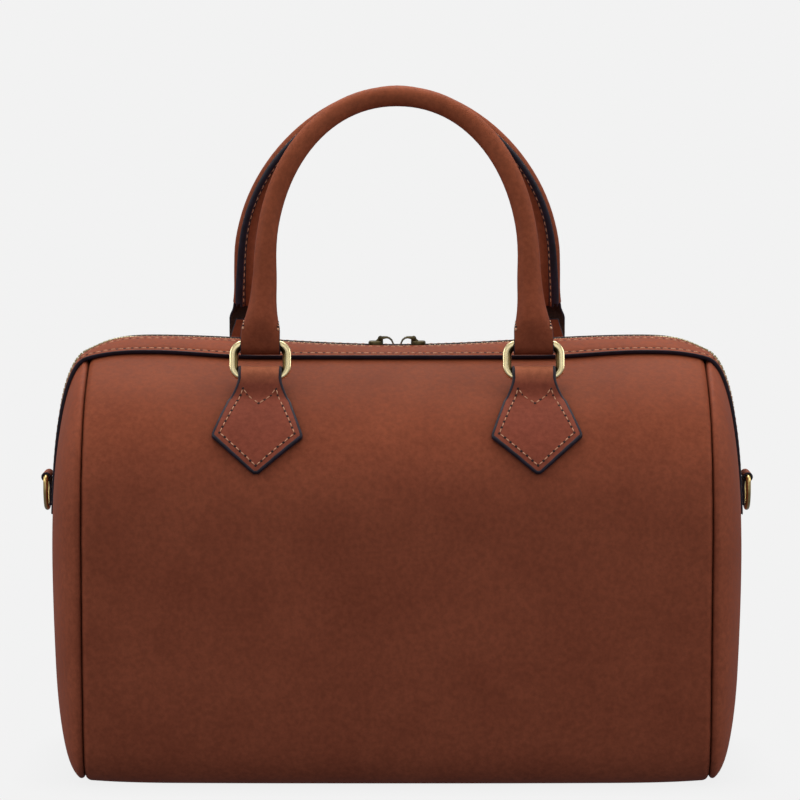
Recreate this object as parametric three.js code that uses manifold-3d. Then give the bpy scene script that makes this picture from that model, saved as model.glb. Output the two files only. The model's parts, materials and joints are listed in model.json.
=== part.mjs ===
// A leather duffle satchel with two rolled handles, a zip that runs over the lid and down both ends,
// and a D-ring at each end for a shoulder strap.
// Millimetres, +Z up. The front faces -Y, and the origin is on the floor under the middle of the bag.
import * as THREE from "three";
import { mergeVertices } from "three/addons/utils/BufferGeometryUtils.js";
import Module from "manifold-3d";

const wasm = await Module();
wasm.setup();

// Driving dimensions of the body
const SEAM_X = 145; // the end seams lie in this plane, left and right
const SEAM_GAP = 0.4;
const WALL = 1.7; // body leather
const END_BULGE = 17.2; // how far an end panel domes out of its seam plane
const DOME_Z = 78; // height of the middle of the dome
const DOME_POWER = { top: 3.5, low: 1.95 }; // full shoulders at the top, and a slope in to the floor
const END_DEPTH_LOSS = 0.045; // the body is this share shallower at the seams than at its middle
const LID_PEAK_X = 118; // the lid stands highest here, left and right
const LID_SAG = 4.6; // the zip hangs this much lower at the middle than at the two peaks
const LID_END_FALL = 6.5; // and falls this much from a peak to its seam
const HEM_SAG = 2.8; // the strips' outer edges hang less, and lie flat over this share of the way to a peak
const HEM_FLAT = 0.55;
const HEM_END_FALL = 2.8;
const HEM_Z = 195;
const LID_LOW_Z = 118; // the lid's rise and fall fades out between these heights
const LID_HIGH_Z = 192;
const FLOOR_LIFT = 1.3; // the floor curls up a little at the seams
const FLOOR_FLAT_X = 95;
const FLOOR_FADE_Z = 18;

// Half of the section at the middle of the bag, from the crown down to the floor.
// Each row is a Bezier curve from the row above to (y, z), with its two control points.
const CROWN = { y: 0, z: 198.3 };
const SECTION = [
  { part: "lid", c1y: 5, c1z: 198.3, c2y: 10, c2z: 198.1, y: 14, z: 197.6, steps: 1 },
  { part: "hem", c1y: 17, c1z: 197.1, c2y: 19.5, c2z: 196.75, y: 22.5, z: 195.65, steps: 2 },
  { part: "shoulder", c1y: 50, c1z: 185.6, c2y: 87, c2z: 170, y: 86.5, z: 122, steps: 7 },
  { part: "wall", c1y: 86, c1z: 84, c2y: 84.5, c2z: 42, y: 78.5, z: 17, steps: 3 },
  { part: "heel", c1y: 75.5, c1z: 6, c2y: 69, c2z: 0, y: 60, z: 0, steps: 4 },
  { part: "floor", c1y: 40, c1z: 0, c2y: 20, c2z: 0, y: 0, z: 0, steps: 1 },
];
const FINE_STEPS = 24; // samples of each curve where a height is looked up
const BODY_STATIONS = [0, 25, 50, 75, 100, 118, 130, 138, SEAM_X]; // mirrored to the other end

// The band over the mouth: two leather strips and a zip, over the lid and down both ends
const MOUTH_HALF = 14; // the body panels stop here, under the strips
const BAND_END_Z = 122;
const BAND_END_SHARES = [0, 0.22, 0.44, 0.62, 0.76, 0.86, 0.93, 0.975];
const ZIP_END_Z = 130; // the tape and the teeth end here, behind the end tabs
const SLIT = { low: 124.5, foot: 4, above: 1 }; // the slit in an end panel ends in a curve of this depth
const STRIP = { inner: 5, outer: 24.4, lift: 0.6, thick: 1.75, columns: 4 };
const TAPE = { half: 12.6, thick: 1 };
const TEETH = { half: 2.8, lift: 0.3, top: 2.1, lowTop: 0.8, clear: 0.6, ramp: 0.4 };
const SLIDER = { from: 6.6, to: 13.6, half: 4.2, lift: 1.1, top: 4.1, corner: 2, bevel: 0.5 };
const SLIDER_LUG = { x: 7.9, height: 5.25, radius: 1.25, bore: 0.75, half: 1.1, back: 2.8, root: 3.7 };
const PULL = { pin: 0.5, earGap: 0.35, ear: 1.1, earRadius: 0.95, earTurn: 1.9, earReach: 3.4 };
const TONGUE = { from: 2.4, reach: 6.4, drop: 2.4, thick: 0.7, bend: 5.6, innerBend: 4.9 };

// Handles, their rings and the kite tabs that hold them
const LEAN = THREE.MathUtils.degToRad(17); // both handles lean in over the lid
const RING = { width: 28.7, height: 18.7, bar: 4.1, depth: 4, corner: 6.6, bevel: 1.1 };
const RING_PITCH = RING.height - RING.bar; // from the lower bar to the upper bar
const STRAP_HALF = 9.2;
const LOOP = { inner: 2.75, outer: 4.5, steps: 5 };
const SEAT_SEARCH = { from: 30, to: 140, step: 0.25 };
const KITE = { lift: 0.35, thick: 2.8, columns: 4, splay: 0.025 }; // the tips lean away from the middle
const KITE_ROWS = [
  { drop: 2.9, half: 9.2 },
  { drop: 4.4, half: 9.2 },
  { drop: 8.3, half: 11.2 },
  { drop: 13, half: 13.8 },
  { drop: 22, half: 17 },
  { drop: 31.6, half: 20.4 },
  { drop: 32.8, half: 20.4 },
  { drop: 41, half: 11.2 },
  { drop: 49, half: 2.3 },
  { drop: 50.2, half: 0.8 },
];
// The pivots are the rings' lower bars. An arch is half of a superellipse: a curve of 1 is an ellipse,
// and less has fuller shoulders. A strap lies flat for a while over its ring before it rolls up.
const HANDLES = [
  {
    side: "front", turn: 0, pivotY: 54, pivotZ: 189.6, foot: 63.4, flat: 0,
    archHalf: 61.5, archRise: 81.9, archBase: 53.1, curve: 0.955,
  },
  {
    side: "back", turn: Math.PI, pivotY: 61.5, pivotZ: 184.6, foot: 73, flat: 5,
    archHalf: 73.85, archRise: 80.5, archBase: 59.9, curve: 1.1,
  },
];
// The roll flattens into a strap at each foot. Rise is counted from the strap's flat part.
// A square of 1 is a round section, and less than 1 has fuller corners.
const ROLL_ROWS = [
  { rise: 4.6, halfWide: 9.2, halfThick: 3.2, square: 0.35 },
  { rise: 8.4, halfWide: 9.2, halfThick: 3.7, square: 0.5 },
  { rise: 11.4, halfWide: 8, halfThick: 4, square: 0.7 },
  { rise: 14.5, halfWide: 7.25, halfThick: 4.3, square: 0.8 },
  { rise: 21.7, halfWide: 6.2, halfThick: 4.7, square: 0.95 },
  { rise: 32, halfWide: 5.6, halfThick: 4.8, square: 1 },
];
const ROLL_RADIUS = 4.8;
const ROLL_SIDES = 10;
const ARCH_STEPS = 20;
// Folds round a ring's bar run between two turns, counted in half turns.
const STRAP_TAIL = { half: 2.4, top: 7, from: -0.95, to: -0.05 }; // up into the roll
const KITE_TAIL = { from: -0.25, to: 1.02, corners: [[-14, 0.9], [-12, -0.2], [-4, 0.7]] }; // on the panel
const MOUTH_CUT = { low: 5, high: 15, half: 5.2, deep: 0.6, out: 7 }; // the roll's open inner side

// D-rings and the tabs at the lower ends of the zip
const D_BAR = { x: 166.8, z: 138.2, radius: 1.2 };
const D_RING = { width: 24.4, height: 17.8, bevel: 0.7, bend: 0.8, nose: 0.5 };
const END_TAB = { half: 9.4, low: 124.6, lift: 0.1, thick: 1, rows: 4, columns: 5 };
const END_LOOP = { inner: 1.4, outer: 2.3, steps: 6 };

// Finishes
const finish = (color, roughness, metalness) =>
  new THREE.MeshStandardMaterial({ color, roughness, metalness });
const LEATHER = finish(0x8a4d33, 0.5, 0);
const LEATHER_STRAP = finish(0x84482f, 0.48, 0);
const BRASS = finish(0xb09d6e, 0.38, 1);
const DARK_BRASS = finish(0x6b6247, 0.42, 1);
const TAPE_CLOTH = finish(0x4a2c20, 0.9, 0);

const mirrored = (stations) => [...stations.slice(1).reverse().map((x) => -x), ...stations];
const lerp = THREE.MathUtils.lerp;
const smoothstep = THREE.MathUtils.smoothstep;

// The body's outer surface

const sectionPath = new THREE.Path();
sectionPath.moveTo(CROWN.y, CROWN.z);
for (const row of SECTION) {
  sectionPath.bezierCurveTo(row.c1y, row.c1z, row.c2y, row.c2z, row.y, row.z);
}

// Points of the half section, from the crown to the floor, with each row's own number of steps.
function sectionPoints(stepsOf) {
  const points = [new THREE.Vector2(CROWN.y, CROWN.z)];
  sectionPath.curves.forEach((curve, i) => {
    points.push(...curve.getPoints(stepsOf(SECTION[i])).slice(1));
  });
  return points;
}

const coarseSection = sectionPoints((row) => row.steps);
const fineSection = sectionPoints(() => FINE_STEPS);

const depthShare = (x) => 1 - END_DEPTH_LOSS * (Math.abs(x) / SEAM_X) ** 2.5;

const hump = (share) => Math.sin((Math.PI / 2) * share) ** 2;

// How much higher the lid stands at x than at the middle of the bag, for a height in the section.
function lidRise(x, z) {
  const far = Math.min(Math.abs(x) / LID_PEAK_X, 1);
  const hemFar = Math.max(0, (far - HEM_FLAT) / (1 - HEM_FLAT));
  const past = Math.max(0, (Math.abs(x) - LID_PEAK_X) / (SEAM_X - LID_PEAK_X)) ** 3;
  const zipLine = LID_SAG * hump(far) - LID_END_FALL * past;
  const hemLine = HEM_SAG * hump(hemFar) - HEM_END_FALL * past;
  const rise = lerp(hemLine, zipLine, smoothstep(z, HEM_Z, CROWN.z));
  return rise * smoothstep(z, LID_LOW_Z, LID_HIGH_Z);
}

function floorLift(x) {
  const past = Math.max(0, (Math.abs(x) - FLOOR_FLAT_X) / (SEAM_X - FLOOR_FLAT_X));
  return FLOOR_LIFT * past ** 3;
}

// A point of the section, carried to its place at x. Side is -1 at the front and 1 at the back.
function bodyPoint(x, side, point) {
  const lid = lidRise(x, point.y);
  const floor = floorLift(x) * (1 - smoothstep(point.y, 0, FLOOR_FADE_Z));
  return new THREE.Vector3(x, side * point.x * depthShare(x), point.y + lid + floor);
}

// Height of the lid over a point within the band's width.
function lidHeight(x, y) {
  const across = Math.abs(y) / depthShare(x);
  const i = fineSection.findIndex((p) => p.x > across);
  const [a, b] = [fineSection[i - 1], fineSection[i]];
  const z = lerp(a.y, b.y, (across - a.x) / (b.x - a.x));
  return z + lidRise(x, z);
}

const seamOutline = fineSection.map((p) => bodyPoint(SEAM_X, 1, p));

// Distance from the middle of the dome to the seam, in the direction (y, z).
function seamReach(y, z) {
  const side = Math.abs(y);
  for (let i = 1; i < seamOutline.length; i++) {
    const [a, b] = [seamOutline[i - 1], seamOutline[i]];
    const [az, bz] = [a.z - DOME_Z, b.z - DOME_Z];
    const crossA = side * az - z * a.y;
    const crossB = side * bz - z * b.y;
    if (crossA >= 0 && crossB <= 0) {
      const share = crossA / (crossA - crossB || 1);
      return Math.hypot(lerp(a.y, b.y, share), lerp(az, bz, share));
    }
  }
  return Math.hypot(side, z);
}

// How far an end panel stands from the middle of the bag.
function domeX(y, z) {
  const out = Math.hypot(y, z - DOME_Z);
  const share = out < 1e-6 ? 0 : Math.min(1, out / seamReach(y, z - DOME_Z));
  const upward = (1 + Math.cos(Math.atan2(Math.abs(y), z - DOME_Z))) / 2;
  return SEAM_X + END_BULGE * Math.sqrt(1 - share ** lerp(DOME_POWER.low, DOME_POWER.top, upward));
}

// Solids from grids and rings of points

function facetGeometry(points, faces) {
  const triangles = faces.flatMap((f) =>
    f.slice(2).map((_, i) => [f[0], f[i + 1], f[i + 2]]),
  );
  const volume = triangles.reduce((sum, [a, b, c]) => {
    const normal = new THREE.Vector3().crossVectors(points[b], points[c]);
    return sum + points[a].dot(normal);
  }, 0);
  const index = volume < 0 ? triangles.map(([a, b, c]) => [a, c, b]) : triangles;
  const geometry = new THREE.BufferGeometry().setFromPoints(points);
  geometry.setIndex(index.flat());
  return geometry;
}

// Closes two grids of the same size, one over the other, into a wall.
function wallGeometry(under, over) {
  const rows = under.length;
  const columns = under[0].length;
  const at = (layer, r, c) => (layer * rows + r) * columns + c;
  const faces = [];
  for (let r = 0; r + 1 < rows; r++) {
    for (let c = 0; c + 1 < columns; c++) {
      faces.push([at(1, r, c), at(1, r + 1, c), at(1, r + 1, c + 1), at(1, r, c + 1)]);
      faces.push([at(0, r, c), at(0, r, c + 1), at(0, r + 1, c + 1), at(0, r + 1, c)]);
    }
  }
  for (let r = 0; r + 1 < rows; r++) {
    const end = columns - 1;
    faces.push([at(0, r, 0), at(0, r + 1, 0), at(1, r + 1, 0), at(1, r, 0)]);
    faces.push([at(0, r, end), at(1, r, end), at(1, r + 1, end), at(0, r + 1, end)]);
  }
  for (let c = 0; c + 1 < columns; c++) {
    const end = rows - 1;
    faces.push([at(0, 0, c), at(1, 0, c), at(1, 0, c + 1), at(0, 0, c + 1)]);
    faces.push([at(0, end, c), at(0, end, c + 1), at(1, end, c + 1), at(1, end, c)]);
  }
  return facetGeometry([...under.flat(), ...over.flat()], faces);
}

// Joins closed rings of points into one tube with flat ends.
function ringGeometry(rings) {
  const sides = rings[0].length;
  const faces = [];
  for (let r = 0; r + 1 < rings.length; r++) {
    for (let i = 0; i < sides; i++) {
      const next = (i + 1) % sides;
      faces.push([r * sides + i, r * sides + next, (r + 1) * sides + next, (r + 1) * sides + i]);
    }
  }
  const last = (rings.length - 1) * sides;
  const order = [...Array(sides).keys()];
  faces.push(order.slice().reverse());
  faces.push(order.map((i) => last + i));
  return facetGeometry(rings.flat(), faces);
}

// Moves each point of a grid along its own normal, away from the middle of the bag.
const BAG_MIDDLE = new THREE.Vector3(0, 0, 90);
function offsetGrid(grid, distance) {
  const rows = grid.length;
  const columns = grid[0].length;
  return grid.map((row, r) =>
    row.map((point, c) => {
      const along = grid[Math.min(r + 1, rows - 1)][c].clone().sub(grid[Math.max(r - 1, 0)][c]);
      const across = row[Math.min(c + 1, columns - 1)].clone().sub(row[Math.max(c - 1, 0)]);
      const normal = along.cross(across).normalize();
      const outward = point.clone().sub(BAG_MIDDLE).dot(normal) < 0 ? -1 : 1;
      return point.clone().addScaledVector(normal, outward * distance);
    }),
  );
}

// Boolean work on closed geometries

function solid(geometry) {
  const bare = geometry.clone();
  bare.deleteAttribute("normal");
  bare.deleteAttribute("uv");
  const merged = mergeVertices(bare, 1e-4);
  const mesh = new wasm.Mesh({
    numProp: 3,
    vertProperties: merged.attributes.position.array,
    triVerts: new Uint32Array(merged.index.array),
  });
  return new wasm.Manifold(mesh);
}

function geometryOf(manifold) {
  const mesh = manifold.getMesh();
  const geometry = new THREE.BufferGeometry();
  geometry.setAttribute("position", new THREE.BufferAttribute(mesh.vertProperties, 3));
  geometry.setIndex(new THREE.BufferAttribute(mesh.triVerts, 1));
  return geometry;
}

const joined = (...parts) => geometryOf(parts.map(solid).reduce((a, b) => a.add(b)));

// A flat profile drawn as (u, v), pushed out to both sides of its plane.
function plate(shape, thick, bevel = 0, curveSegments = 6) {
  const geometry = new THREE.ExtrudeGeometry(shape, {
    depth: thick - 2 * bevel,
    curveSegments,
    bevelEnabled: bevel > 0,
    bevelSize: bevel,
    bevelThickness: bevel,
    bevelOffset: -bevel,
    bevelSegments: 1,
  });
  return geometry.translate(0, 0, bevel - thick / 2);
}

// Turns a profile's (u, v, push) into (push, u, v): u runs along Y, v along Z and the push along X.
const acrossX = (geometry) => geometry.rotateY(Math.PI / 2).rotateX(Math.PI / 2);
// Turns it into (u, push, v): u runs along X, v along Z and the push along Y.
const acrossY = (geometry) => geometry.rotateX(Math.PI / 2);

function circle(radius, u = 0, v = 0, target = new THREE.Path()) {
  target.absarc(u, v, radius, 0, 2 * Math.PI);
  return target;
}

function roundedRectangle(width, height, corner, target = new THREE.Shape()) {
  const [u, v] = [width / 2 - corner, height / 2 - corner];
  target.absarc(u, v, corner, 0, Math.PI / 2);
  target.absarc(-u, v, corner, Math.PI / 2, Math.PI);
  target.absarc(-u, -v, corner, Math.PI, 1.5 * Math.PI);
  target.absarc(u, -v, corner, 1.5 * Math.PI, 2 * Math.PI);
  target.closePath();
  return target;
}

// Pieces

const satchel = new THREE.Group();

function addPiece(name, geometry, material, parent = satchel) {
  const mesh = new THREE.Mesh(geometry, material);
  mesh.name = name;
  parent.add(mesh);
  return mesh;
}

// One piece of leather makes the front, the floor and the back.
function bodyWrap() {
  const rim = coarseSection.slice(SECTION[0].steps);
  const inside = SEAM_X - SEAM_GAP;
  const stations = mirrored(BODY_STATIONS).map((x) => THREE.MathUtils.clamp(x, -inside, inside));
  const outer = stations.map((x) => [
    ...rim.map((p) => bodyPoint(x, -1, p)),
    ...rim.slice(0, -1).reverse().map((p) => bodyPoint(x, 1, p)),
  ]);
  return wallGeometry(offsetGrid(outer, -WALL), outer);
}

// A domed end, slit from its top down to the lower end of the zip.
const END_RINGS = [0, 0.025, 0.09, 0.21, 0.4, 0.68, 1];
function endPanel(side) {
  const hem = SECTION[0].steps + SECTION[1].steps;
  const half = coarseSection.slice(hem).map((p) => bodyPoint(SEAM_X, 1, p));
  const edge = [
    ...half.map((p) => p.clone().setY(-p.y)),
    ...half.slice(0, -1).reverse(),
  ];
  const slitTop = lidHeight(SEAM_X, MOUTH_HALF);
  const slitFoot = SLIT.low + SLIT.foot;
  const armPoints = half.filter((p) => p.z > BAND_END_Z).length;
  const footPoints = edge.length - 2 * armPoints;
  const spine = edge.map((p, i) => {
    const fromTop = Math.min(i, edge.length - 1 - i);
    const front = i < edge.length / 2 ? -1 : 1;
    if (fromTop < armPoints) {
      const z = lerp(slitTop, slitFoot + SLIT.above, fromTop / (armPoints - 1));
      return new THREE.Vector2(front * MOUTH_HALF, z);
    }
    const turn = Math.PI * ((i - armPoints + 1) / (footPoints + 1));
    return new THREE.Vector2(-MOUTH_HALF * Math.cos(turn), slitFoot - SLIT.foot * Math.sin(turn));
  });
  const outer = END_RINGS.map((share) =>
    edge.map((p, i) => {
      const y = lerp(p.y, spine[i].x, share);
      const z = lerp(p.z, spine[i].y, share);
      const x = share === 0 ? SEAM_X : domeX(y, z);
      return new THREE.Vector3(side * x, y, z);
    }),
  );
  const inner = offsetGrid(outer, -WALL);
  inner[0].forEach((p) => p.setX(side * SEAM_X));
  inner.flat().forEach((p) => p.setX(side * Math.max(SEAM_X, side * p.x)));
  return wallGeometry(inner, outer);
}

// The body's surface along the zip at a distance y from its middle, from the left end's foot to the right's.
function bandLine(y, endZ) {
  const top = lidHeight(SEAM_X, y);
  const end = BAND_END_SHARES.map((share) => {
    const z = lerp(endZ, top, share);
    return new THREE.Vector3(domeX(y, z), y, z);
  });
  const lid = mirrored(BODY_STATIONS).map((x) => new THREE.Vector3(x, y, lidHeight(x, y)));
  const left = end.map((p) => p.clone().setX(-p.x));
  return [...left, ...lid, ...end.slice().reverse()];
}

function bandGrid(fromY, toY, columns, endZ) {
  const lines = [...Array(columns).keys()].map((c) => bandLine(lerp(fromY, toY, c / (columns - 1)), endZ));
  return lines[0].map((_, r) => lines.map((line) => line[r]));
}

function zipStrip(side) {
  const base = bandGrid(side * STRIP.inner, side * STRIP.outer, STRIP.columns, BAND_END_Z);
  return wallGeometry(offsetGrid(base, STRIP.lift), offsetGrid(base, STRIP.lift + STRIP.thick));
}

function zipTape() {
  const base = bandGrid(-TAPE.half, TAPE.half, 3, ZIP_END_Z);
  return wallGeometry(offsetGrid(base, -TAPE.thick), base);
}

// The two closed rows of teeth are one ridge, lower where a slider rides over it.
function zipTeeth() {
  const base = bandGrid(-TEETH.half, TEETH.half, 3, ZIP_END_Z);
  const [near, far] = [SLIDER.from - TEETH.clear, SLIDER.to + TEETH.clear];
  const edges = [near - TEETH.ramp, near, far, far + TEETH.ramp];
  const extra = [...edges.map((x) => -x).reverse(), ...edges];
  const columnY = [-TEETH.half, 0, TEETH.half];
  const cuts = extra.map((x) => columnY.map((y) => new THREE.Vector3(x, y, lidHeight(x, y))));
  const lowEnd = (row) => Math.abs(row[0].x) < SEAM_X;
  const firstLid = base.findIndex(lowEnd);
  const lid = [...base.filter(lowEnd), ...cuts].sort((a, b) => a[0].x - b[0].x);
  const ends = base.filter((row) => !lowEnd(row));
  const rows = [...ends.slice(0, firstLid), ...lid, ...ends.slice(firstLid)];
  const high = offsetGrid(rows, TEETH.top);
  const low = offsetGrid(rows, TEETH.lowTop);
  const rides = (x) => Math.abs(x) > edges[0] && Math.abs(x) < edges[3];
  const top = rows.map((row, r) => (rides(row[0].x) ? low[r] : high[r]));
  return wallGeometry(offsetGrid(rows, TEETH.lift), top);
}

// A slider's plate and the lug that its pull hangs on. Drawn for the left side, at its height on the lid.
function zipSlider() {
  const length = SLIDER.to - SLIDER.from;
  const outline = roundedRectangle(length, 2 * SLIDER.half, SLIDER.corner);
  const body = plate(outline, SLIDER.top - SLIDER.lift, SLIDER.bevel, 1);
  body.translate(-(SLIDER.from + SLIDER.to) / 2, 0, (SLIDER.lift + SLIDER.top) / 2);
  const lug = new THREE.Shape();
  const { x, height, radius, back, root } = SLIDER_LUG;
  lug.moveTo(-x + radius, root);
  lug.lineTo(-x + radius, height);
  lug.absarc(-x, height, radius, 0, Math.PI);
  lug.lineTo(-x - back, root);
  lug.closePath();
  lug.holes.push(circle(SLIDER_LUG.bore, -x, height));
  return joined(body, acrossY(plate(lug, 2 * SLIDER_LUG.half, 0, 4)));
}

// A bent tongue with two ears and the pin that goes through the lug.
function zipPull() {
  const { x, height, half } = SLIDER_LUG;
  const outerHalf = half + PULL.earGap + PULL.ear;
  const over = PULL.earRadius;
  const under = over - TONGUE.thick;
  const ear = new THREE.Shape();
  ear.absarc(0, 0, PULL.earRadius, Math.PI / 2, PULL.earTurn * Math.PI);
  ear.lineTo(PULL.earReach, under);
  ear.lineTo(PULL.earReach, over);
  ear.closePath();
  const ears = [-1, 1].map((side) =>
    acrossY(plate(ear, PULL.ear, 0, 3)).translate(0, side * (outerHalf - PULL.ear / 2), 0),
  );
  const pin = acrossY(plate(circle(PULL.pin, 0, 0, new THREE.Shape()), 2 * outerHalf - PULL.ear, 0, 4));
  const tongue = new THREE.Shape();
  tongue.moveTo(TONGUE.from, over);
  tongue.quadraticCurveTo(TONGUE.bend, over, TONGUE.reach, -TONGUE.drop);
  tongue.lineTo(TONGUE.reach - TONGUE.thick, -TONGUE.drop);
  tongue.quadraticCurveTo(TONGUE.innerBend, under, TONGUE.from, under);
  tongue.closePath();
  const blade = acrossY(plate(tongue, 2 * outerHalf, 0, 3));
  return joined(...ears, pin, blade).translate(-x, 0, height);
}

function addZip() {
  addPiece("zip_tape", zipTape(), TAPE_CLOTH);
  addPiece("zip_teeth", zipTeeth(), DARK_BRASS);
  addPiece("zip_strip_front", zipStrip(-1), LEATHER_STRAP);
  addPiece("zip_strip_back", zipStrip(1), LEATHER_STRAP);
  for (const [side, turn] of [["left", 0], ["right", Math.PI]]) {
    const carrier = new THREE.Group();
    carrier.position.z = lidHeight(SLIDER.from, 0);
    carrier.rotation.z = turn;
    addPiece(`zip_slider_${side}`, zipSlider(), DARK_BRASS, carrier);
    addPiece(`zip_pull_${side}`, zipPull(), DARK_BRASS, carrier);
    satchel.add(carrier);
  }
}

// Rectangular ring in the plane of its handle, lower bar at the plane's origin.
function handleRing() {
  const shape = roundedRectangle(RING.width, RING.height, RING.corner);
  const hole = [RING.width - 2 * RING.bar, RING.height - 2 * RING.bar];
  shape.holes.push(roundedRectangle(...hole, RING.corner - RING.bar, new THREE.Path()));
  const ring = plate(shape, RING.depth, RING.bevel, 2);
  return acrossY(ring).translate(0, 0, RING_PITCH / 2);
}

// Strap folded round a ring's bar. The fold runs between two turns, and the tail's corners close it.
function strapLoop(tail) {
  const shape = new THREE.Shape();
  const { outer, inner, steps } = LOOP;
  shape.absarc(0, 0, outer, tail.from * Math.PI, tail.to * Math.PI, false);
  tail.corners.forEach(([u, v]) => shape.lineTo(u, v));
  shape.closePath();
  shape.holes.push(circle(inner));
  return acrossX(plate(shape, 2 * STRAP_HALF, 0, steps));
}

const fuller = (value, power) => Math.sign(value) * Math.abs(value) ** power;

// The roll's middle line, from the left foot to the right one, in the handle's own plane.
function rollStations({ foot, flat, archHalf, archRise, archBase, curve }) {
  const leg = ROLL_ROWS.map((row) => {
    const rise = row.rise + flat;
    const below = smoothstep(1 - rise / (archBase - RING_PITCH), 0, 1);
    return { ...row, x: -lerp(archHalf, foot, below), height: RING_PITCH + rise };
  });
  const roll = { halfWide: ROLL_RADIUS, halfThick: ROLL_RADIUS, square: 1 };
  const arch = [...Array(ARCH_STEPS + 1).keys()].map((i) => {
    const turn = (Math.PI * i) / ARCH_STEPS;
    const x = -archHalf * fuller(Math.cos(turn), curve);
    return { x, height: archBase + archRise * fuller(Math.sin(turn), curve), ...roll };
  });
  const down = leg.map((s) => ({ ...s, x: -s.x })).reverse();
  const legTop = leg[leg.length - 1].height + ROLL_RADIUS;
  return [...leg, ...arch.filter((s) => s.height > legTop), ...down];
}

function handleRoll(handle) {
  const stations = rollStations(handle);
  const rings = stations.map((s, i) => {
    const before = stations[Math.max(i - 1, 0)];
    const after = stations[Math.min(i + 1, stations.length - 1)];
    const run = new THREE.Vector2(after.x - before.x, after.height - before.height).normalize();
    const level = i === 0 || i === stations.length - 1;
    const [sideX, sideZ] = level ? [Math.sign(-s.x), 0] : [run.y, -run.x];
    return [...Array(ROLL_SIDES).keys()].map((k) => {
      const turn = (2 * Math.PI * (k + 0.5)) / ROLL_SIDES;
      const wide = s.halfWide * fuller(Math.cos(turn), s.square);
      const flip = level && s.x > 0 ? -1 : 1;
      return new THREE.Vector3(
        s.x + flip * wide * sideX,
        s.halfThick * fuller(Math.sin(turn), s.square),
        s.height + wide * sideZ,
      );
    });
  });
  return ringGeometry(rings);
}

// A roll with the strap of each foot folded round its ring, and the roll's open end above the fold.
function handleGeometry(handle) {
  let made = solid(handleRoll(handle));
  const { half, top, from, to } = STRAP_TAIL;
  const tail = { from, to, corners: [[half, top + handle.flat], [-half, top + handle.flat]] };
  const { low, high, deep, out } = MOUTH_CUT;
  const wedge = new THREE.Shape();
  wedge.moveTo(out, low);
  wedge.lineTo(out, high);
  wedge.lineTo(deep, high);
  wedge.closePath();
  for (const side of [-1, 1]) {
    const loop = strapLoop(tail).translate(side * handle.foot, 0, RING_PITCH);
    const cut = acrossX(plate(wedge, 2 * MOUTH_CUT.half));
    cut.translate(side * handle.foot, 0, RING_PITCH + handle.flat);
    made = made.add(solid(loop)).subtract(solid(cut));
  }
  return geometryOf(made);
}

// The section's arc length from the crown, and the point at a length.
const sectionLengths = fineSection.reduce(
  (sum, p, i) => [...sum, i ? sum[i - 1] + p.distanceTo(fineSection[i - 1]) : 0],
  [],
);
function sectionAt(length) {
  const i = sectionLengths.findIndex((reach) => reach > length);
  const share = (length - sectionLengths[i - 1]) / (sectionLengths[i] - sectionLengths[i - 1]);
  return fineSection[i - 1].clone().lerp(fineSection[i], share);
}

// Where a ring's lower bar stands over the front panel: the section's length there and the panel's slope.
function pivotSeat(x, { pivotY, pivotZ }) {
  let best = { gap: Infinity };
  for (let length = SEAT_SEARCH.from; length < SEAT_SEARCH.to; length += SEAT_SEARCH.step) {
    const p = bodyPoint(x, 1, sectionAt(length));
    const gap = Math.hypot(p.y - pivotY, p.z - pivotZ);
    if (gap < best.gap) best = { gap, length, y: p.y, z: p.z };
  }
  return best;
}

// A kite-shaped tab sewn on the panel, drawn for the front.
function kiteTab(x, handle) {
  const seat = pivotSeat(x, handle);
  const base = KITE_ROWS.map(({ drop, half }) =>
    [...Array(KITE.columns + 1).keys()].map((c) => {
      const middle = x + Math.sign(x) * KITE.splay * drop;
      const at = middle + half * lerp(-1, 1, c / KITE.columns);
      return bodyPoint(at, -1, sectionAt(seat.length + drop));
    }),
  );
  const leather = wallGeometry(offsetGrid(base, KITE.lift), offsetGrid(base, KITE.lift + KITE.thick));
  const slope = Math.atan2(handle.pivotY - seat.y, handle.pivotZ - seat.z);
  const corners = KITE_TAIL.corners.map(([u, v]) => [u, v - seat.gap]);
  const tail = { ...KITE_TAIL, corners };
  const loop = strapLoop(tail).rotateX(slope).translate(x, -handle.pivotY, handle.pivotZ);
  return joined(leather, loop);
}

function addHandle(handle) {
  const turned = new THREE.Group();
  turned.rotation.z = handle.turn;
  satchel.add(turned);
  const plane = new THREE.Group();
  plane.position.set(0, -handle.pivotY, handle.pivotZ);
  plane.rotation.x = -LEAN;
  turned.add(plane);
  addPiece(`handle_${handle.side}`, handleGeometry(handle), LEATHER_STRAP, plane);
  for (const [hand, sign] of [["left", -1], ["right", 1]]) {
    const x = sign * handle.foot * (handle.turn ? -1 : 1);
    const ring = addPiece(`ring_${handle.side}_${hand}`, handleRing(), BRASS, plane);
    ring.position.x = x;
    addPiece(`kite_tab_${handle.side}_${hand}`, kiteTab(x, handle), LEATHER_STRAP, turned);
  }
}

// D-ring hanging from its straight bar, in the plane of the bag's end.
function dRing() {
  const { radius } = D_BAR;
  const [half, drop] = [D_RING.width / 2, D_RING.height - radius];
  const outline = (inset, target) => {
    const side = half - inset;
    const low = drop - inset;
    const bend = low - side * D_RING.bend;
    const nose = side * D_RING.nose;
    target.moveTo(-side, radius - inset);
    target.lineTo(-side, -bend);
    target.bezierCurveTo(-side, -low, -nose, -low, 0, -low);
    target.bezierCurveTo(nose, -low, side, -low, side, -bend);
    target.lineTo(side, radius - inset);
    target.closePath();
    return target;
  };
  const shape = outline(0, new THREE.Shape());
  shape.holes.push(outline(2 * radius, new THREE.Path()));
  return acrossX(plate(shape, 2 * radius, D_RING.bevel, 4));
}

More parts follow.
